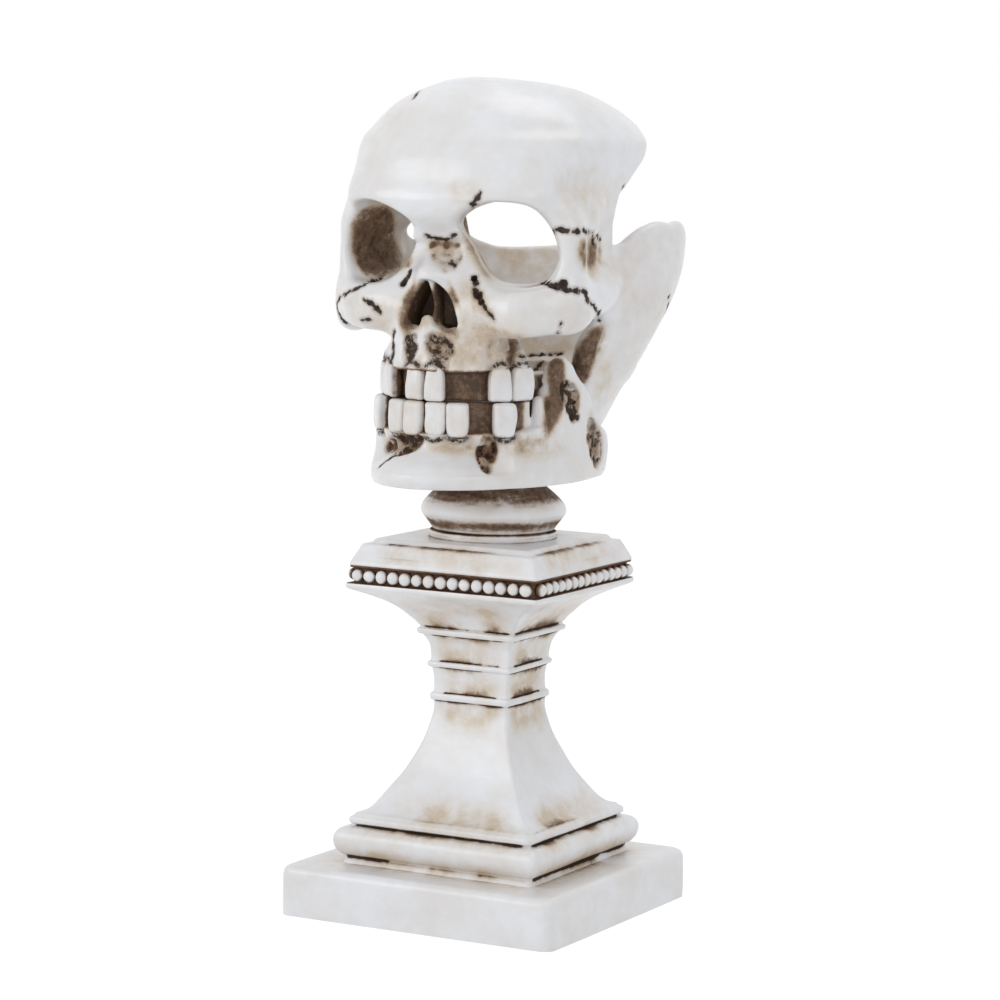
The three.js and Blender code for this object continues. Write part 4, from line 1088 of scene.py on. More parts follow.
class Finish(Nodes):
    """A procedural material."""

    def __init__(self, name):
        self.material = bpy.data.materials.new(name)
        self.material.use_nodes = True
        super().__init__(self.material.node_tree)
        self.place = self.node("ShaderNodeTexCoord", {}, {}, "Object")

    def attribute(self, name):
        return self.node("ShaderNodeAttribute", {"attribute_name": name}, {}, "Fac")

    def noise(self, size, detail=3.0, rough=0.55):
        """Noise from 0 to 1 with lumps of a size in millimetres."""
        inputs = {"Vector": self.place, "Scale": 1000 / size, "Detail": detail, "Roughness": rough}
        return self.node("ShaderNodeTexNoise", {}, inputs)

    def mixed(self, share, first, second):
        return self.node("ShaderNodeMix", {"data_type": "RGBA"}, {0: share, 6: first, 7: second}, 2)

    def finish(self, shader):
        self.node("ShaderNodeOutputMaterial", {}, {"Surface": shader})
        return self.material


def colour(value):
    return (*value, 1.0)


def antiqued_and_shaded_resin(sizes, name, ground, gloss):
    """Ivory resin whose hollows hold a cream tint, partly painted shade, a brown wash, and near black in the cracks.

    The mesh says how much of each lies where: tint and wash from 0 to 1, crack in millimetres. The ground is
    the tint that lies everywhere, and the gloss is the bare resin's roughness.
    """
    finish = Finish(name)
    tint, wash, crack = (finish.attribute(key) for key in ("tint", "wash", "crack"))
    fine, grain, mottle = finish.noise(0.55, 4), finish.noise(1.4, 5, 0.68), finish.noise(3.6, 5, 0.62)
    patch, cloud = finish.noise(8, 4, 0.6), finish.noise(24, 3)
    # the cream tint: random clouds of it everywhere, and more where the mesh's tint is high, which is painted shade
    # in the skull's and teeth's hollows and the wash's haze on the pedestal
    spotty = (patch - 0.5) * 2.2 + (mottle - 0.5) * 1.6
    thin = (tint * 0.95 + (cloud - 0.5) * 0.7 + spotty * (tint + 0.18) + ground).clamped()
    # the wash, and the near black at its thickest and in the cracks
    load = (wash * sizes.wash_strength * (0.5 + mottle) + (wash * (grain - 0.5)) * 1.5
            + (wash * (patch - 0.5)) * 0.8)
    brown, deep = load.between(0.2, 0.8), load.between(0.72, 1.25) * 0.7
    edge = crack + (grain - 0.5) * 1.1 + (fine - 0.5) * 0.6
    line = 1.0 - edge.between(0.0, 0.26)
    halo = (1.0 - edge.between(0.1, 1.1)) * (0.25 + mottle * 0.5)
    shade = finish.mixed(thin, colour(sizes.ivory), colour(sizes.cream))
    shade = finish.mixed((brown * 0.9 + halo * 0.8).clamped(), shade, colour(sizes.wash))
    shade = finish.mixed((line * 0.97 + deep).clamped(), shade, colour(sizes.deep_wash))
    height = fine * (0.2 + brown) + grain * (0.25 + brown * 1.6) + mottle * 0.9
    return finish.finish(finish.node("ShaderNodeBsdfPrincipled", {}, {
        "Base Color": shade,
        "Roughness": gloss + brown * 0.25 + line * 0.4 + (mottle - 0.5) * 0.14 + thin * 0.1,
        "IOR": 1.42,
        "Coat Weight": (1.0 - (brown + line).clamped()) * 0.3,
        "Coat Roughness": 0.18,
        "Normal": finish.node("ShaderNodeBump", {}, {"Strength": 0.4, "Distance": 0.00025, "Height": height}),
    }))


def brushed_steel():
    """Steel with a fine grain."""
    finish = Finish("brushed_steel")
    return finish.finish(finish.node("ShaderNodeBsdfPrincipled", {}, {
        "Base Color": (0.56, 0.57, 0.58, 1), "Metallic": 1.0, "Roughness": 0.3 + finish.noise(0.5, 4) * 0.2}))


# The pedestal: one outline from the ground up, as half side, height and rounding, cut at the joints

PEDESTAL = (
    ("plinth", (
        (44, 0, 2.0), (44.1, 7, 8), (43.9, 14.4, 2.4), (38, 14.45, 3), (31.3, 14.4, 0.3))),
    ("base_moulding", (
        (30.9, 14.4, 0.2), (30.5, 15.4, 0.6), (30.6, 16.7, 0.3), (31.7, 17.2, 0.4), (32.9, 18.9, 1.2),
        (33.4, 21.4, 2), (32.9, 23.4, 1), (31.6, 24.7, 0.5), (29.8, 25.1, 0.25), (29.2, 25.3, 0.2),
        (29.25, 25.75, 0.2), (29.85, 26.0, 0.3), (29.9, 27.5, 0.5), (28.9, 28.1, 0.4), (28.4, 28.7, 0.3))),
    ("shaft", (
        (28.4, 28.7, 0.3), (26.3, 29.3, 1), (24.3, 31.1, 1.5), (21.9, 34.8, 2.5), (18.5, 40, 3), (16.2, 45, 3),
        (14.1, 50, 3), (12.8, 55, 3), (12.15, 58.5, 1.5), (12.2, 60, 0.3))),
    ("shaft_collar_lower", (
        (12.2, 60, 0.3), (12.3, 60.9, 0.2), (12.95, 61.3, 0.25), (13.15, 62.2, 0.5), (12.9, 63.1, 0.25),
        (12.3, 63.5, 0.3), (12.15, 65.6, 1), (12.2, 67.6, 0.5))),
    ("shaft_collar_middle", (
        (12.2, 67.6, 0.5), (12.4, 69.6, 1), (12.65, 70.6, 0.3), (13.4, 70.9, 0.25), (13.75, 71.6, 0.4),
        (13.5, 72.3, 0.3), (12.95, 72.6, 0.3), (12.9, 74, 1), (13.05, 75.2, 0.5))),
    ("shaft_collar_upper", (
        (13.05, 75.2, 0.5), (13.3, 77.2, 1), (13.9, 78.6, 1), (14.6, 79.8, 0.5), (15.0, 80.3, 0.2),
        (15.9, 80.6, 0.3), (16.3, 81.4, 0.5), (16.1, 82.1, 0.3), (15.5, 82.35, 0.2), (15.5, 82.8, 0.2))),
    ("capital", (
        (15.5, 82.8, 0.2), (15.9, 83.2, 0.3), (16.6, 84.4, 1), (18, 85.9, 1.5), (19.8, 88, 2), (22.6, 90.2, 2),
        (27, 92.4, 2), (30.3, 93.8, 1), (31, 94.3, 0.4), (31, 95, 0.2))),
    ("bead_course", (
        (31, 95, 0.2), (30.9, 95.6, 0.3), (29.3, 95.75, 0.3), (29.3, 99.9, 0.4), (30.2, 100.1, 0.2),
        (30.3, 100.7, 0.2))),
    ("cap_slab", (
        (30.3, 100.7, 0.2), (30.4, 101.3, 0.5), (28, 106.3, 0.3), (27.7, 106.75, 0.2), (26, 106.9, 0.2),
        (25.7, 107.2, 0.2), (25.1, 108.05, 0.4), (24.5, 108.3, 0.3), (19, 108.3, 0.3))),
    ("neck_ring", (
        (18.5, 108.3, 0.2), (18.8, 109, 0.4), (18.7, 109.9, 0.4), (18.1, 110.3, 0.3), (17.6, 110.5, 0.2))),
    ("neck_bun", (
        (17.6, 110.5, 0.2), (18.2, 111.6, 1), (19.6, 113.4, 1.5), (21, 115.2, 1), (21.2, 116.3, 0.8),
        (20.5, 118.2, 1.5), (18.2, 120.6, 2), (15.6, 122.8, 1), (14.2, 124.2, 1), (14, 126, 0.5))),
)
ROUND_PIECES, BORED_PIECES = ("neck_ring", "neck_bun"), ("cap_slab", "neck_ring", "neck_bun")
# How wide each square piece's corners are rounded
CORNERS, PLAIN_CORNER = {"plinth": 3.6, "base_moulding": 1.4}, 0.9
# Points round a round section, along a straight side and round a corner
ROUND_POINTS, SIDE_POINTS, BEND_POINTS = 160, 45, 9
# Where the moulding stands on the plinth, as a half side, how far the wash reaches from it, and the heights
# above which the plinth and the course behind the beads hold it
MOULDING_FOOT, FOOT_WASH, PLINTH_EDGE, COURSE_FOOT = 31.3, 3.4, 14, 95.5
# The beads' pitch, and the middle of the front row
BEAD_PITCH, BEAD_ROW = (62.0 - 3.9) / 15, (0, -30.0, 97.9)


def rounded(points):
    """A line of (half side, height, rounding) points with each corner rounded off."""
    points = np.asarray(points, float)
    line = points[:, :2]
    out = [line[0]]
    for before, here, after, r in zip(line, line[1:], line[2:], points[1:, 2]):
        a, b = np.linalg.norm(before - here), np.linalg.norm(after - here)
        if min(a, b) < 1e-6:
            continue
        first = here + (before - here) / a * min(r, 0.48 * a)
        last = here + (after - here) / b * min(r, 0.48 * b)
        for t in (0, 0.25, 0.5, 0.75, 1):
            out.append((1 - t) ** 2 * first + 2 * t * (1 - t) * here + t * t * last)
    return np.array(out + [line[-1]])


# Wash on the pedestal's sides: height of each line, half its thickness, how far it fades upwards and
# downwards, then for the right, back, left and front side where it starts and ends and how strong it is
WASH_LINES = (
    (106.95, 0.24, 0.5, 0.9, ((-0.9, 0.72, 0.75), (-0.8, 0.6, 0.7), (-0.7, 0.8, 0.7), (-0.8, 0.62, 0.8))),
    (103.4, 0.14, 0.2, 0.4, ((-0.2, 0.6, 0.5), (-0.6, 0.1, 0.5), (0.1, 0.8, 0.5), (-0.75, -0.05, 0.6))),
    (82.7, 0.42, 2.4, 0.3, ((-0.97, 0.84, 1.2), (-0.8, 0.95, 1.0), (-0.9, 0.85, 1.0), (-0.92, 0.99, 0.95))),
    (80.25, 0.26, 0.1, 1.5, ((-0.95, 0.9, 0.95), (-0.9, 0.7, 0.9), (-0.7, 0.9, 0.9), (-0.8, 0.86, 0.95))),
    (72.65, 0.32, 2.2, 0.2, ((-0.78, 0.64, 1.05), (-0.8, 0.8, 1.0), (-0.7, 0.85, 1.0), (-0.78, 0.82, 1.0))),
    (70.65, 0.26, 0.1, 1.6, ((-1.0, 0.95, 1.1), (-0.9, 0.4, 0.9), (-0.4, 0.9, 0.9), (-0.82, 0.4, 0.9))),
    (63.4, 0.32, 1.9, 0.2, ((-0.85, 0.65, 0.95), (-0.8, 0.7, 1.0), (-0.8, 0.8, 1.0), (-0.7, 0.76, 1.0))),
    (60.95, 0.3, 0.1, 1.3, ((-1.0, 0.95, 1.2), (-0.95, 0.9, 1.1), (-0.9, 0.95, 1.1), (-0.95, 0.93, 1.15))),
    (28.5, 0.22, 1.3, 0.1, ((-0.9, 0.1, 0.85), (-0.3, 0.8, 0.7), (-0.8, 0.2, 0.7), (-0.5, 0.97, 0.45))),
    (25.45, 0.42, 0.2, 0.8, ((-0.97, 0.92, 1.2), (-0.9, 0.95, 1.1), (-0.95, 0.85, 1.1), (-0.96, 0.96, 1.15))),
    (16.4, 0.75, 1.1, 1.2, ((-1.0, 0.97, 1.3), (-0.9, 0.9, 1.1), (-0.9, 0.4, 1.1), (-0.99, -0.45, 1.1))),
    (16.0, 0.5, 1.0, 1.6, ((-1.0, 1.0, 0.8), (-1.0, 1.0, 0.7), (-1.0, 1.0, 0.7), (-1.0, 1.0, 0.7))),
)
# Tints that lie on whole heights: middle, half thickness and strength
SHAFT_TINTS = (
    (17, 2, 0.5), (30.5, 3.6, 0.4), (57, 3.5, 0.45), (66, 2, 0.4), (75, 2, 0.4), (88, 4, 0.2), (103, 2.6, 0.3),
)
# The same for the wash on the round neck, and the height and half width of its darkest groove
NECK_BANDS = ((108.4, 0.3, 0.8), (109.4, 0.5, 0.4), (110.45, 0.4, 1.15), (112.8, 1.6, 0.85), (122.3, 3.1, 1.15))
NECK_GROOVE, GROOVE_HALF = 110.45, 0.3


def drift(table, u, v):
    """Smooth noise from a table of random values, at places counted in its cells."""
    i, j = np.floor(u).astype(int), int(v // 1)
    p, q = stepped(u - i, 0, 1), stepped(v - j, 0, 1)
    n, m = table.shape
    low, high = (table[i % n, k % m] * (1 - p) + table[(i + 1) % n, k % m] * p for k in (j, j + 1))
    return low * (1 - q) + high * q


def side_wash(half, z, side, along, table):
    """Tint, wash and near black at points round the pedestal at a height, each from 0 up."""
    run = along * half + side * 97.0
    slow, quick = drift(table, run / 7, z / 5), drift(table, run / 1.6 + 31, z / 1.3)
    core = fade = haze = np.zeros_like(run)
    for middle, thick, up, down, ends in WASH_LINES:
        dz = z - middle
        if dz > 6 * up + 2 or dz < -6 * down - 2:
            continue
        start, end, strength = np.array(ends)[side].T
        span = stepped(along, start - 0.05, start + 0.09) * (1 - stepped(along, end - 0.12, end + 0.05))
        thickest = strength ** 2 * (1 + 0.2 * slow + 0.14 * quick) * math.exp(-(dz / thick) ** 2)
        core = np.maximum(core, span * thickest)
        reach = abs(dz) / (up if dz > 0 else down)
        soft = stepped(along, start - 0.1, start + 0.45) * (1 - stepped(along, end - 0.5, end + 0.1))
        soft = soft * strength
        fade = np.maximum(fade, soft * np.clip(0.8 + 0.4 * slow + 0.15 * quick, 0, 2) * math.exp(-1.3 * reach))
        haze = np.maximum(haze, soft * np.clip(0.9 + 0.4 * slow, 0, 2) * math.exp(-0.4 * reach))
    tint = sum(much * math.exp(-((z - middle) / spread) ** 2) for middle, spread, much in SHAFT_TINTS)
    tint = tint * (1 - stepped(np.abs(along), 0.5, 0.98)) * (1 + 0.5 * slow) + fade * 0.8 + haze * 0.5
    return tint, fade, core


def neck_wash(half, z, angle, table):
    """The same round the neck, which has no sides."""
    run = angle * half
    slow, quick = drift(table, run / 9, z / 3), drift(table, run / 5, z / 0.6)
    fade = np.zeros_like(run)
    for middle, thick, strength in NECK_BANDS:
        band = strength * math.exp(-((z - middle) / thick) ** 2)
        fade = np.maximum(fade, band * (1 + 0.16 * slow + 0.12 * quick))
    return fade, fade, fade * math.exp(-((z - NECK_GROOVE) / GROOVE_HALF) ** 2) * (0.95 + 0.2 * slow)


def piece_wash(name, half, z, side, along, table):
    """Tint, wash and crack distance round one ring of a piece, as its mesh keeps them."""
    if name in ROUND_PIECES:
        tint, wash, core = neck_wash(half, z, along, table)
    else:
        tint, wash, core = side_wash(half, z, side, along, table)
    if name == "plinth":
        # the wash gathers round the moulding's foot, and the sides are clean
        near = math.exp(-max(0.0, half - MOULDING_FOOT) / FOOT_WASH) if z > PLINTH_EDGE else 0.0
        tint, wash, core = (tint + 0.4) * near, (wash + 0.3) * near, core * near
    if name == "bead_course" and z > COURSE_FOOT:
        wash, core = wash + 0.95, core + 0.45
    return np.clip(tint, 0, 1), np.clip(wash, 0, 1), np.clip(1.2 - 1.6 * core, -1, 4)


def section(name, half):
    """Points round a piece's section, the side that each lies on and how far along it, from -1 to 1.

    A round section has one side, and the angle stands for how far along it each point is.
    """
    if name in ROUND_PIECES:
        angle = (np.arange(ROUND_POINTS) + 0.5) * math.tau / ROUND_POINTS
        return np.stack([np.cos(angle), np.sin(angle)], -1) * half, np.zeros(ROUND_POINTS, int), angle
    corner = min(CORNERS.get(name, PLAIN_CORNER), half * 0.3)
    straight = [(half, y) for y in np.linspace(-1, 1, SIDE_POINTS) * (half - corner)]
    bend = [(half - corner + corner * math.cos(a), half - corner + corner * math.sin(a))
            for a in np.linspace(0, math.pi / 2, BEND_POINTS)[1:-1]]
    quarter = np.array(straight + bend)
    points = np.vstack([quarter @ np.array([[math.cos(a), math.sin(a)], [-math.sin(a), math.cos(a)]])
                        for a in (0, math.pi / 2, math.pi, 1.5 * math.pi)])
    return points, np.repeat(np.arange(4), len(quarter)), np.tile(np.clip(quarter[:, 1] / half, -1, 1), 4)


def dense(line, spacing=0.4):
    """The same line with points added, so that none lie further apart than a spacing."""
    run = run_along(line)
    extra = [np.linspace(a, b, max(2, int((b - a) / spacing) + 1))[:-1] for a, b in zip(run[:-1], run[1:])]
    at = np.concatenate([*extra, run[-1:]])
    at = at[np.concatenate([[True], np.diff(at) > 1e-6])]
    return np.stack([np.interp(at, run, column) for column in line.T], -1)


def turned_piece(name, line, table):
    """A closed solid from a piece's outline, turned square or round, with a slight cast unevenness."""
    rings, layers = [], []
    for half, z in line:
        ring, side, along = section(name, half)
        angle = np.arctan2(ring[:, 1], ring[:, 0])
        uneven = 0.09 * np.sin(3 * angle + 1.1 + z * 0.21) + 0.06 * np.sin(7 * angle + 4.2 - z * 0.33)
        ring = ring * (1 + (uneven - 0.12)[:, None] / max(half, 8))
        rings.append(np.column_stack([ring, np.full(len(ring), z)]))
        layers.append(piece_wash(name, half, z, side, along, table))
    n, bored = len(rings[0]), name in BORED_PIECES
    if bored:
        angle = np.arctan2(rings[0][:, 1], rings[0][:, 0])
        for z in (line[-1][1], line[0][1]):
            rings.append(np.column_stack([np.cos(angle) * DOWEL_BORE, np.sin(angle) * DOWEL_BORE, np.full(n, z)]))
            layers.append((np.full(n, 0.4), np.full(n, 0.3), np.full(n, 2.0)))
    count, i = len(rings), np.arange(n)
    faces = []
    for k in range(count if bored else count - 1):
        a, b = k * n, ((k + 1) % count) * n
        faces.append(np.stack([a + i, a + (i + 1) % n, b + (i + 1) % n, b + i], -1))
    kept = {key: np.concatenate(column) for key, column in zip(("tint", "wash", "crack"), zip(*layers))}
    made = mesh_of(name + "_look", np.vstack(rings), faces, kept)
    if not bored:
        close_ends(made, n)
    return outward(made)


def close_ends(made, n):
    """Closes the first and the last ring of a mesh with flat, sharp-edged faces."""
    bm = bmesh.new()
    bm.from_mesh(made.data)
    verts = bm.verts[:]
    for end in (verts[:n][::-1], verts[-n:]):
        face = bm.faces.new(end)
        face.smooth = False
        for edge in face.edges:
            edge.smooth = False
    bm.to_mesh(made.data)
    bm.free()


def beads_tree():
    """Geometry Nodes: beads along +X, each with its wash kept for the side that faces the course."""
    tree = bpy.data.node_groups.new("bead_string", "GeometryNodeTree")
    tree.interface.new_socket("Geometry", in_out="OUTPUT", socket_type="NodeSocketGeometry")
    inputs = {}
    for name, kind, value in (("Count", "Int", 15), ("Pitch", "Float", 0.004), ("Diameter", "Float", 0.0039),
                              ("Seed", "Int", 1), ("Material", "Material", None)):
        socket = tree.interface.new_socket(name, in_out="INPUT", socket_type="NodeSocket" + kind)
        socket.default_value = value
        inputs[name] = socket.identifier
    string = Nodes(tree)
    given = tree.nodes.new("NodeGroupInput").outputs
    count, pitch, diameter, seed, material = (Value(string, given[name]) for name in inputs)
    start = string.node("ShaderNodeCombineXYZ", {}, {0: pitch * (count - 1.0) * -0.5})
    offset = string.node("ShaderNodeCombineXYZ", {}, {0: pitch})
    line = string.node("GeometryNodeMeshLine", {}, {"Count": count, "Start Location": start, "Offset": offset})
    radius = diameter * 0.5
    bead = string.node("GeometryNodeMeshUVSphere", {}, {"Segments": 20, "Rings": 12, "Radius": radius})
    place = string.node("GeometryNodeInputPosition", {}, {})
    size = string.node("ShaderNodeCombineXYZ", {}, {0: radius, 1: radius, 2: radius})
    unit = string.node("ShaderNodeVectorMath", {"operation": "DIVIDE"}, {0: place, 1: size})
    inwards = string.node("ShaderNodeSeparateXYZ", {}, {0: unit}, 1)
    # each attribute: where on the way inwards it starts and ends to change, and its values there
    for key, start, end, low, high in (
        ("wash", -0.88, 0.05, 0.0, 1.0), ("crack", -0.45, 0.25, 1.6, -0.1), ("tint", -0.45, 0.25, 0.1, 1.0),
    ):
        level = string.node("ShaderNodeMapRange", {}, {0: inwards, 1: start, 2: end, 3: low, 4: high})
        bead = string.node("GeometryNodeStoreNamedAttribute", {"data_type": "FLOAT", "domain": "POINT"},
                           {"Geometry": bead, "Name": key, "Value": level})
    turn, size = (
        string.node("FunctionNodeRandomValue", {"data_type": "FLOAT_VECTOR"}, {0: low, 1: high, "Seed": seed})
        for low, high in (((-0.15, -0.15, -0.15), (0.15, 0.15, 0.15)), ((0.9, 0.86, 0.88), (1.03, 0.98, 1.0))))
    spread = string.node("GeometryNodeInstanceOnPoints", {}, {
        "Points": line, "Instance": bead, "Rotation": turn, "Scale": size})
    real = string.node("GeometryNodeRealizeInstances", {}, {0: spread})
    smooth = string.node("GeometryNodeSetShadeSmooth", {}, {0: real})
    dressed = string.node("GeometryNodeSetMaterial", {}, {"Geometry": smooth, "Material": material})
    string.node("NodeGroupOutput", {}, {0: dressed})
    return tree, inputs


# Sizes and colours that a user may change

def paint(name, description, default):
    return bpy.props.FloatVectorProperty(
        name=name, description=description, default=default, subtype="COLOR", size=3)


class HolderSizes(bpy.types.PropertyGroup):
    skull_grid: bpy.props.FloatProperty(
        name="Skull grid", description="Spacing of the grid that the skull is modelled on", default=0.0005,
        min=0.0003, unit="LENGTH", precision=5)
    bead_diameter: bpy.props.FloatProperty(
        name="Bead diameter", description="Diameter of the beads under the cap slab", default=0.0039, unit="LENGTH")
    beads_per_side: bpy.props.IntProperty(
        name="Beads per side", description="Beads on each side of the pedestal", default=15, min=1)
    wash_strength: bpy.props.FloatProperty(
        name="Wash strength", description="How much brown wash is left in the hollows", default=1.0, subtype="FACTOR")
    ivory: paint("Ivory", "Colour of the bare resin", (0.85, 0.85, 0.865))
    # the cream is both the resin's warm tone and the colour of the painted shade in the hollows
    cream: paint("Cream", "Colour of the resin under a thin wash", (0.64, 0.53, 0.405))
    wash: paint("Wash", "Colour of the brown wash", (0.165, 0.085, 0.042))
    deep_wash: paint("Deep wash", "Colour of the wash in the cracks", (0.026, 0.012, 0.006))


class HolderPiece:
    bl_options = {"REGISTER", "UNDO"}


def dress(made, node, material):
    """Gives a piece its material, and lets it stand for a node."""
    made.data.materials.clear()
    made.data.materials.append(material)
    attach(made, "root")
    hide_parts(node)


# Each resin's ground and gloss
RESINS = {"skull_resin": (0.15, 0.3), "pedestal_resin": (0.12, 0.36), "tooth_resin": (0.02, 0.27)}


def resin(context, name):
    """One of the resins, made once."""
    return bpy.data.materials.get(name) or antiqued_and_shaded_resin(context.scene.holder_sizes, name, *RESINS[name])


class HOLDER_OT_skull(HolderPiece, bpy.types.Operator):
    """Models the skull above the jaw, and parts it into cranial cap, face and rear bowl"""
    bl_idname = "holder.skull"
    bl_label = "Skull"

    def execute(self, context):
        clay = Clay((-44, -46.5, 129), (44, 70, 241.5), context.scene.holder_sizes.skull_grid * 1000)
        skull_mass(clay)
        face_forms(clay)
        skull_cuts(clay)
        soil_skull(clay)
        mark(clay, 21, CRACKS, PATCHES, BACK_CRACKS)
        # level seams: nothing stands below the seat, and nothing of the teeth's wall below the bite
        low = np.where(clay.y < -22, BITE + 0.15, 130)
        clay.field = np.maximum(clay.field, low - clay.z).astype(np.float32)
        points, faces = clay.surface()
        whole = outward(mesh_of("skull_whole", points, faces, wash_and_shade_at(clay, points)))
        seam, front = (0, 0, CAP_JOINT), (0, FACE_REAR, 0)
        for node, planes in (
            ("cranial_cap", [(seam, (0, 0, -1))]),
            ("face", [(seam, (0, 0, 1)), (front, (0, 1, 0))]),
            ("rear_bowl", [(seam, (0, 0, 1)), (front, (0, -1, 0))]),
        ):
            made = cut_piece(whole, node + "_look", planes)
            if not len(made.data.polygons):
                raise RuntimeError(node + " came out empty")
            if node == "rear_bowl":
                thinned(made, BOWL_SHARE)
            dress(made, node, resin(context, "skull_resin"))
        bpy.data.objects.remove(whole)
        return {"FINISHED"}


class HOLDER_OT_jaw(HolderPiece, bpy.types.Operator):
    """Models the lower jaw"""
    bl_idname = "holder.jaw"
    bl_label = "Lower jaw"

    def execute(self, context):
        clay = Clay((-34, -53, 124.5), (34, 19, 163), JAW_GRID)
        jaw_mass(clay)
        soil_jaw(clay)
        mark(clay, 22, JAW_CRACKS, JAW_PATCHES)
        clay.field = np.maximum(clay.field, SKULL_BASE - clay.z).astype(np.float32)
        points, faces = clay.surface()
        made = outward(mesh_of("lower_jaw_look", points, faces, wash_and_shade_at(clay, points)))
        dress(made, "lower_jaw", resin(context, "skull_resin"))
        return {"FINISHED"}


class HOLDER_OT_teeth(HolderPiece, bpy.types.Operator):
    """Models the fourteen teeth that are left"""
    bl_idname = "holder.teeth"
    bl_label = "Teeth"

    def execute(self, context):
        for k, (row, counts) in enumerate(TEETH.items()):
            for count in counts:
                points, faces = tooth_clay(row, count, 100 + 10 * k + count).surface()
                name = f"tooth_{row}_{count}"
                made = outward(mesh_of(name + "_look", points, faces, tooth_wash_and_shade(row, count, points)))
                dress(made, name, resin(context, "tooth_resin"))
        return {"FINISHED"}


class HOLDER_OT_pedestal(HolderPiece, bpy.types.Operator):
    """Turns the pedestal's pieces from one outline, with the wash in its grooves"""
    bl_idname = "holder.pedestal"
    bl_label = "Pedestal"

    def execute(self, context):
        table = np.random.default_rng(9).standard_normal((97, 89))
        for name, points in PEDESTAL:
            made = turned_piece(name, dense(rounded(points)), table)
            dress(made, name, resin(context, "pedestal_resin"))
        return {"FINISHED"}


class HOLDER_OT_beads(HolderPiece, bpy.types.Operator):
    """Strings the beads round the pedestal with Geometry Nodes"""
    bl_idname = "holder.beads"
    bl_label = "Beads"

    def execute(self, context):
        sizes, material = context.scene.holder_sizes, resin(context, "pedestal_resin")
        tree, inputs = beads_tree()
        for k, name in enumerate(("front", "right", "back", "left")):
            base = linked("string_base", bpy.data.meshes.new("string_base"))
            beads = base.modifiers.new("beads", "NODES")
            beads.node_group = tree
            for key, value in (("Count", sizes.beads_per_side), ("Pitch", BEAD_PITCH * MM),
                               ("Diameter", sizes.bead_diameter), ("Seed", 5 + k), ("Material", material)):
                beads[inputs[key]] = value
            mesh = evaluated_mesh(base)
            bpy.data.objects.remove(base)
            if not len(mesh.polygons):
                raise RuntimeError("the beads came out empty")
            mesh.name = f"bead_string_{name}_look"
            turn = Matrix.Rotation(k * math.pi / 2, 4, "Z")
            mesh.transform(turn @ Matrix.Translation([v * MM for v in BEAD_ROW]))
            dress(linked(mesh.name, mesh), "bead_string_" + name, material)
        return {"FINISHED"}


class HOLDER_OT_dowel(HolderPiece, bpy.types.Operator):
    """Gives the locating dowel its steel"""
    bl_idname = "holder.dowel"
    bl_label = "Dowel"

    def execute(self, context):
        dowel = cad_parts["locating_dowel"]
        for slot in dowel.material_slots:
            slot.material = brushed_steel()
        return {"FINISHED"}


# The lamps: place in metres, size, power and colour; the point that they light; the room's light; the camera's
# film, half the floor's side in millimetres and the floor's white
LAMPS = (
    ((-0.85, -1.2, 0.62), 0.8, 6.2, (0.97, 0.985, 1.0)),
    ((1.2, -0.6, 0.7), 0.7, 3.0, (0.94, 0.97, 1.0)),
    ((0.1, 0.35, 1.4), 0.8, 3.8, (1.0, 1.0, 1.0)),
)
LIT_POINT, ROOM_LIGHT, ROOM_COLOUR = (0, 0, 0.13), 0.57, (0.955, 0.975, 1.0, 1)
FILM, FLOOR_HALF, FLOOR_WHITE = 36.0, 3000, 1.18


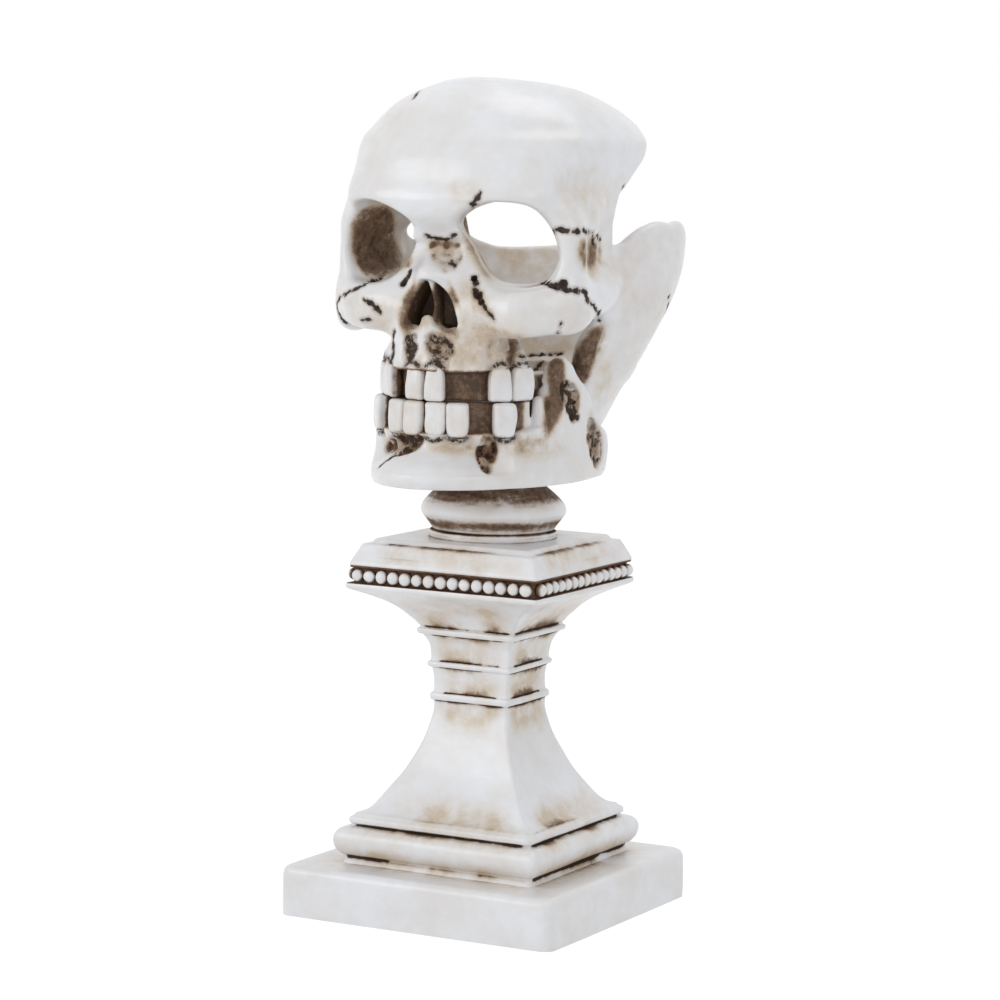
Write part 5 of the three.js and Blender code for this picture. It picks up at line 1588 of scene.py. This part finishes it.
class HOLDER_OT_stage(HolderPiece, bpy.types.Operator):
    """Sets the floor, the light and the camera"""
    bl_idname = "holder.stage"
    bl_label = "Stage"

    def execute(self, context):
        scene = context.scene
        scene.view_settings.view_transform = "Standard"
        corners = [(x * FLOOR_HALF, y * FLOOR_HALF, 0) for x, y in ((-1, -1), (1, -1), (1, 1), (-1, 1))]
        floor = mesh_of("floor", corners, [[[0, 1, 2, 3]]])
        floor.data.materials.append(self.floor_finish())
        self.room(scene)
        for place, size, power, tint in LAMPS:
            lamp = bpy.data.lights.new("softbox", "AREA")
            lamp.size, lamp.energy, lamp.color = size, power, tint
            softbox = linked("softbox", lamp)
            softbox.location = place
            softbox.rotation_euler = (Vector(place) - Vector(LIT_POINT)).to_track_quat("Z", "Y").to_euler()
        eye, right, up, back = photo_camera()
        camera = bpy.data.cameras.new("photo_camera")
        camera.sensor_width, camera.lens = FILM, FOCAL / (2 * HALF_PICTURE) * FILM
        camera.clip_start, camera.clip_end = 0.05, 20
        scene.camera = linked("photo_camera", camera)
        scene.camera.matrix_world = Matrix(
            [[right[i], up[i], back[i], eye[i] * MM] for i in range(3)] + [[0, 0, 0, 1]])
        return {"FINISHED"}

    def floor_finish(self):
        """A matt floor that takes shadows, mostly white where it is seen."""
        finish = Finish("floor_white")
        plain = finish.node("ShaderNodeBsdfDiffuse", {}, {"Color": (0.9, 0.9, 0.9, 1)})
        white = finish.node("ShaderNodeEmission", {}, {"Color": (1, 1, 1, 1), "Strength": FLOOR_WHITE})
        return finish.finish(finish.node("ShaderNodeMixShader", {}, {0: finish.shown() * 0.75, 1: plain, 2: white}))

    def room(self, scene):
        """A world that lights plainly and is white where it is seen."""
        scene.world = bpy.data.worlds.new("white_room")
        scene.world.use_nodes = True
        room = Nodes(scene.world.node_tree)
        light = room.node("ShaderNodeBackground", {}, {"Color": ROOM_COLOUR, "Strength": ROOM_LIGHT})
        white = room.node("ShaderNodeBackground", {}, {"Color": (1, 1, 1, 1)})
        mix = room.node("ShaderNodeMixShader", {}, {0: room.shown(), 1: light, 2: white})
        room.node("ShaderNodeOutputWorld", {}, {"Surface": mix})


class HOLDER_PT_panel(bpy.types.Panel):
    """The sizes, the colours and the steps"""
    bl_idname = "HOLDER_PT_panel"
    bl_label = "Skull candle holder"
    bl_space_type = "VIEW_3D"
    bl_region_type = "UI"
    bl_category = "Holder"

    def draw(self, context):
        sizes = context.scene.holder_sizes
        for name in HolderSizes.__annotations__:
            self.layout.prop(sizes, name)
        for operator in OPERATORS:
            self.layout.operator(operator.bl_idname)


OPERATORS = (HOLDER_OT_stage, HOLDER_OT_pedestal, HOLDER_OT_beads, HOLDER_OT_skull, HOLDER_OT_jaw,
             HOLDER_OT_teeth, HOLDER_OT_dowel)
CLASSES = (HolderSizes, *OPERATORS, HOLDER_PT_panel)


def register():
    for item in CLASSES:
        bpy.utils.register_class(item)
    bpy.types.Scene.holder_sizes = bpy.props.PointerProperty(type=HolderSizes)


def unregister():
    del bpy.types.Scene.holder_sizes
    for item in reversed(CLASSES):
        bpy.utils.unregister_class(item)


def main():
    register()
    for operator in OPERATORS:
        group, name = operator.bl_idname.split(".")
        if getattr(getattr(bpy.ops, group), name)() != {"FINISHED"}:
            raise RuntimeError(operator.bl_label + " wasn't finished")


if __name__ == "__main__":
    main()
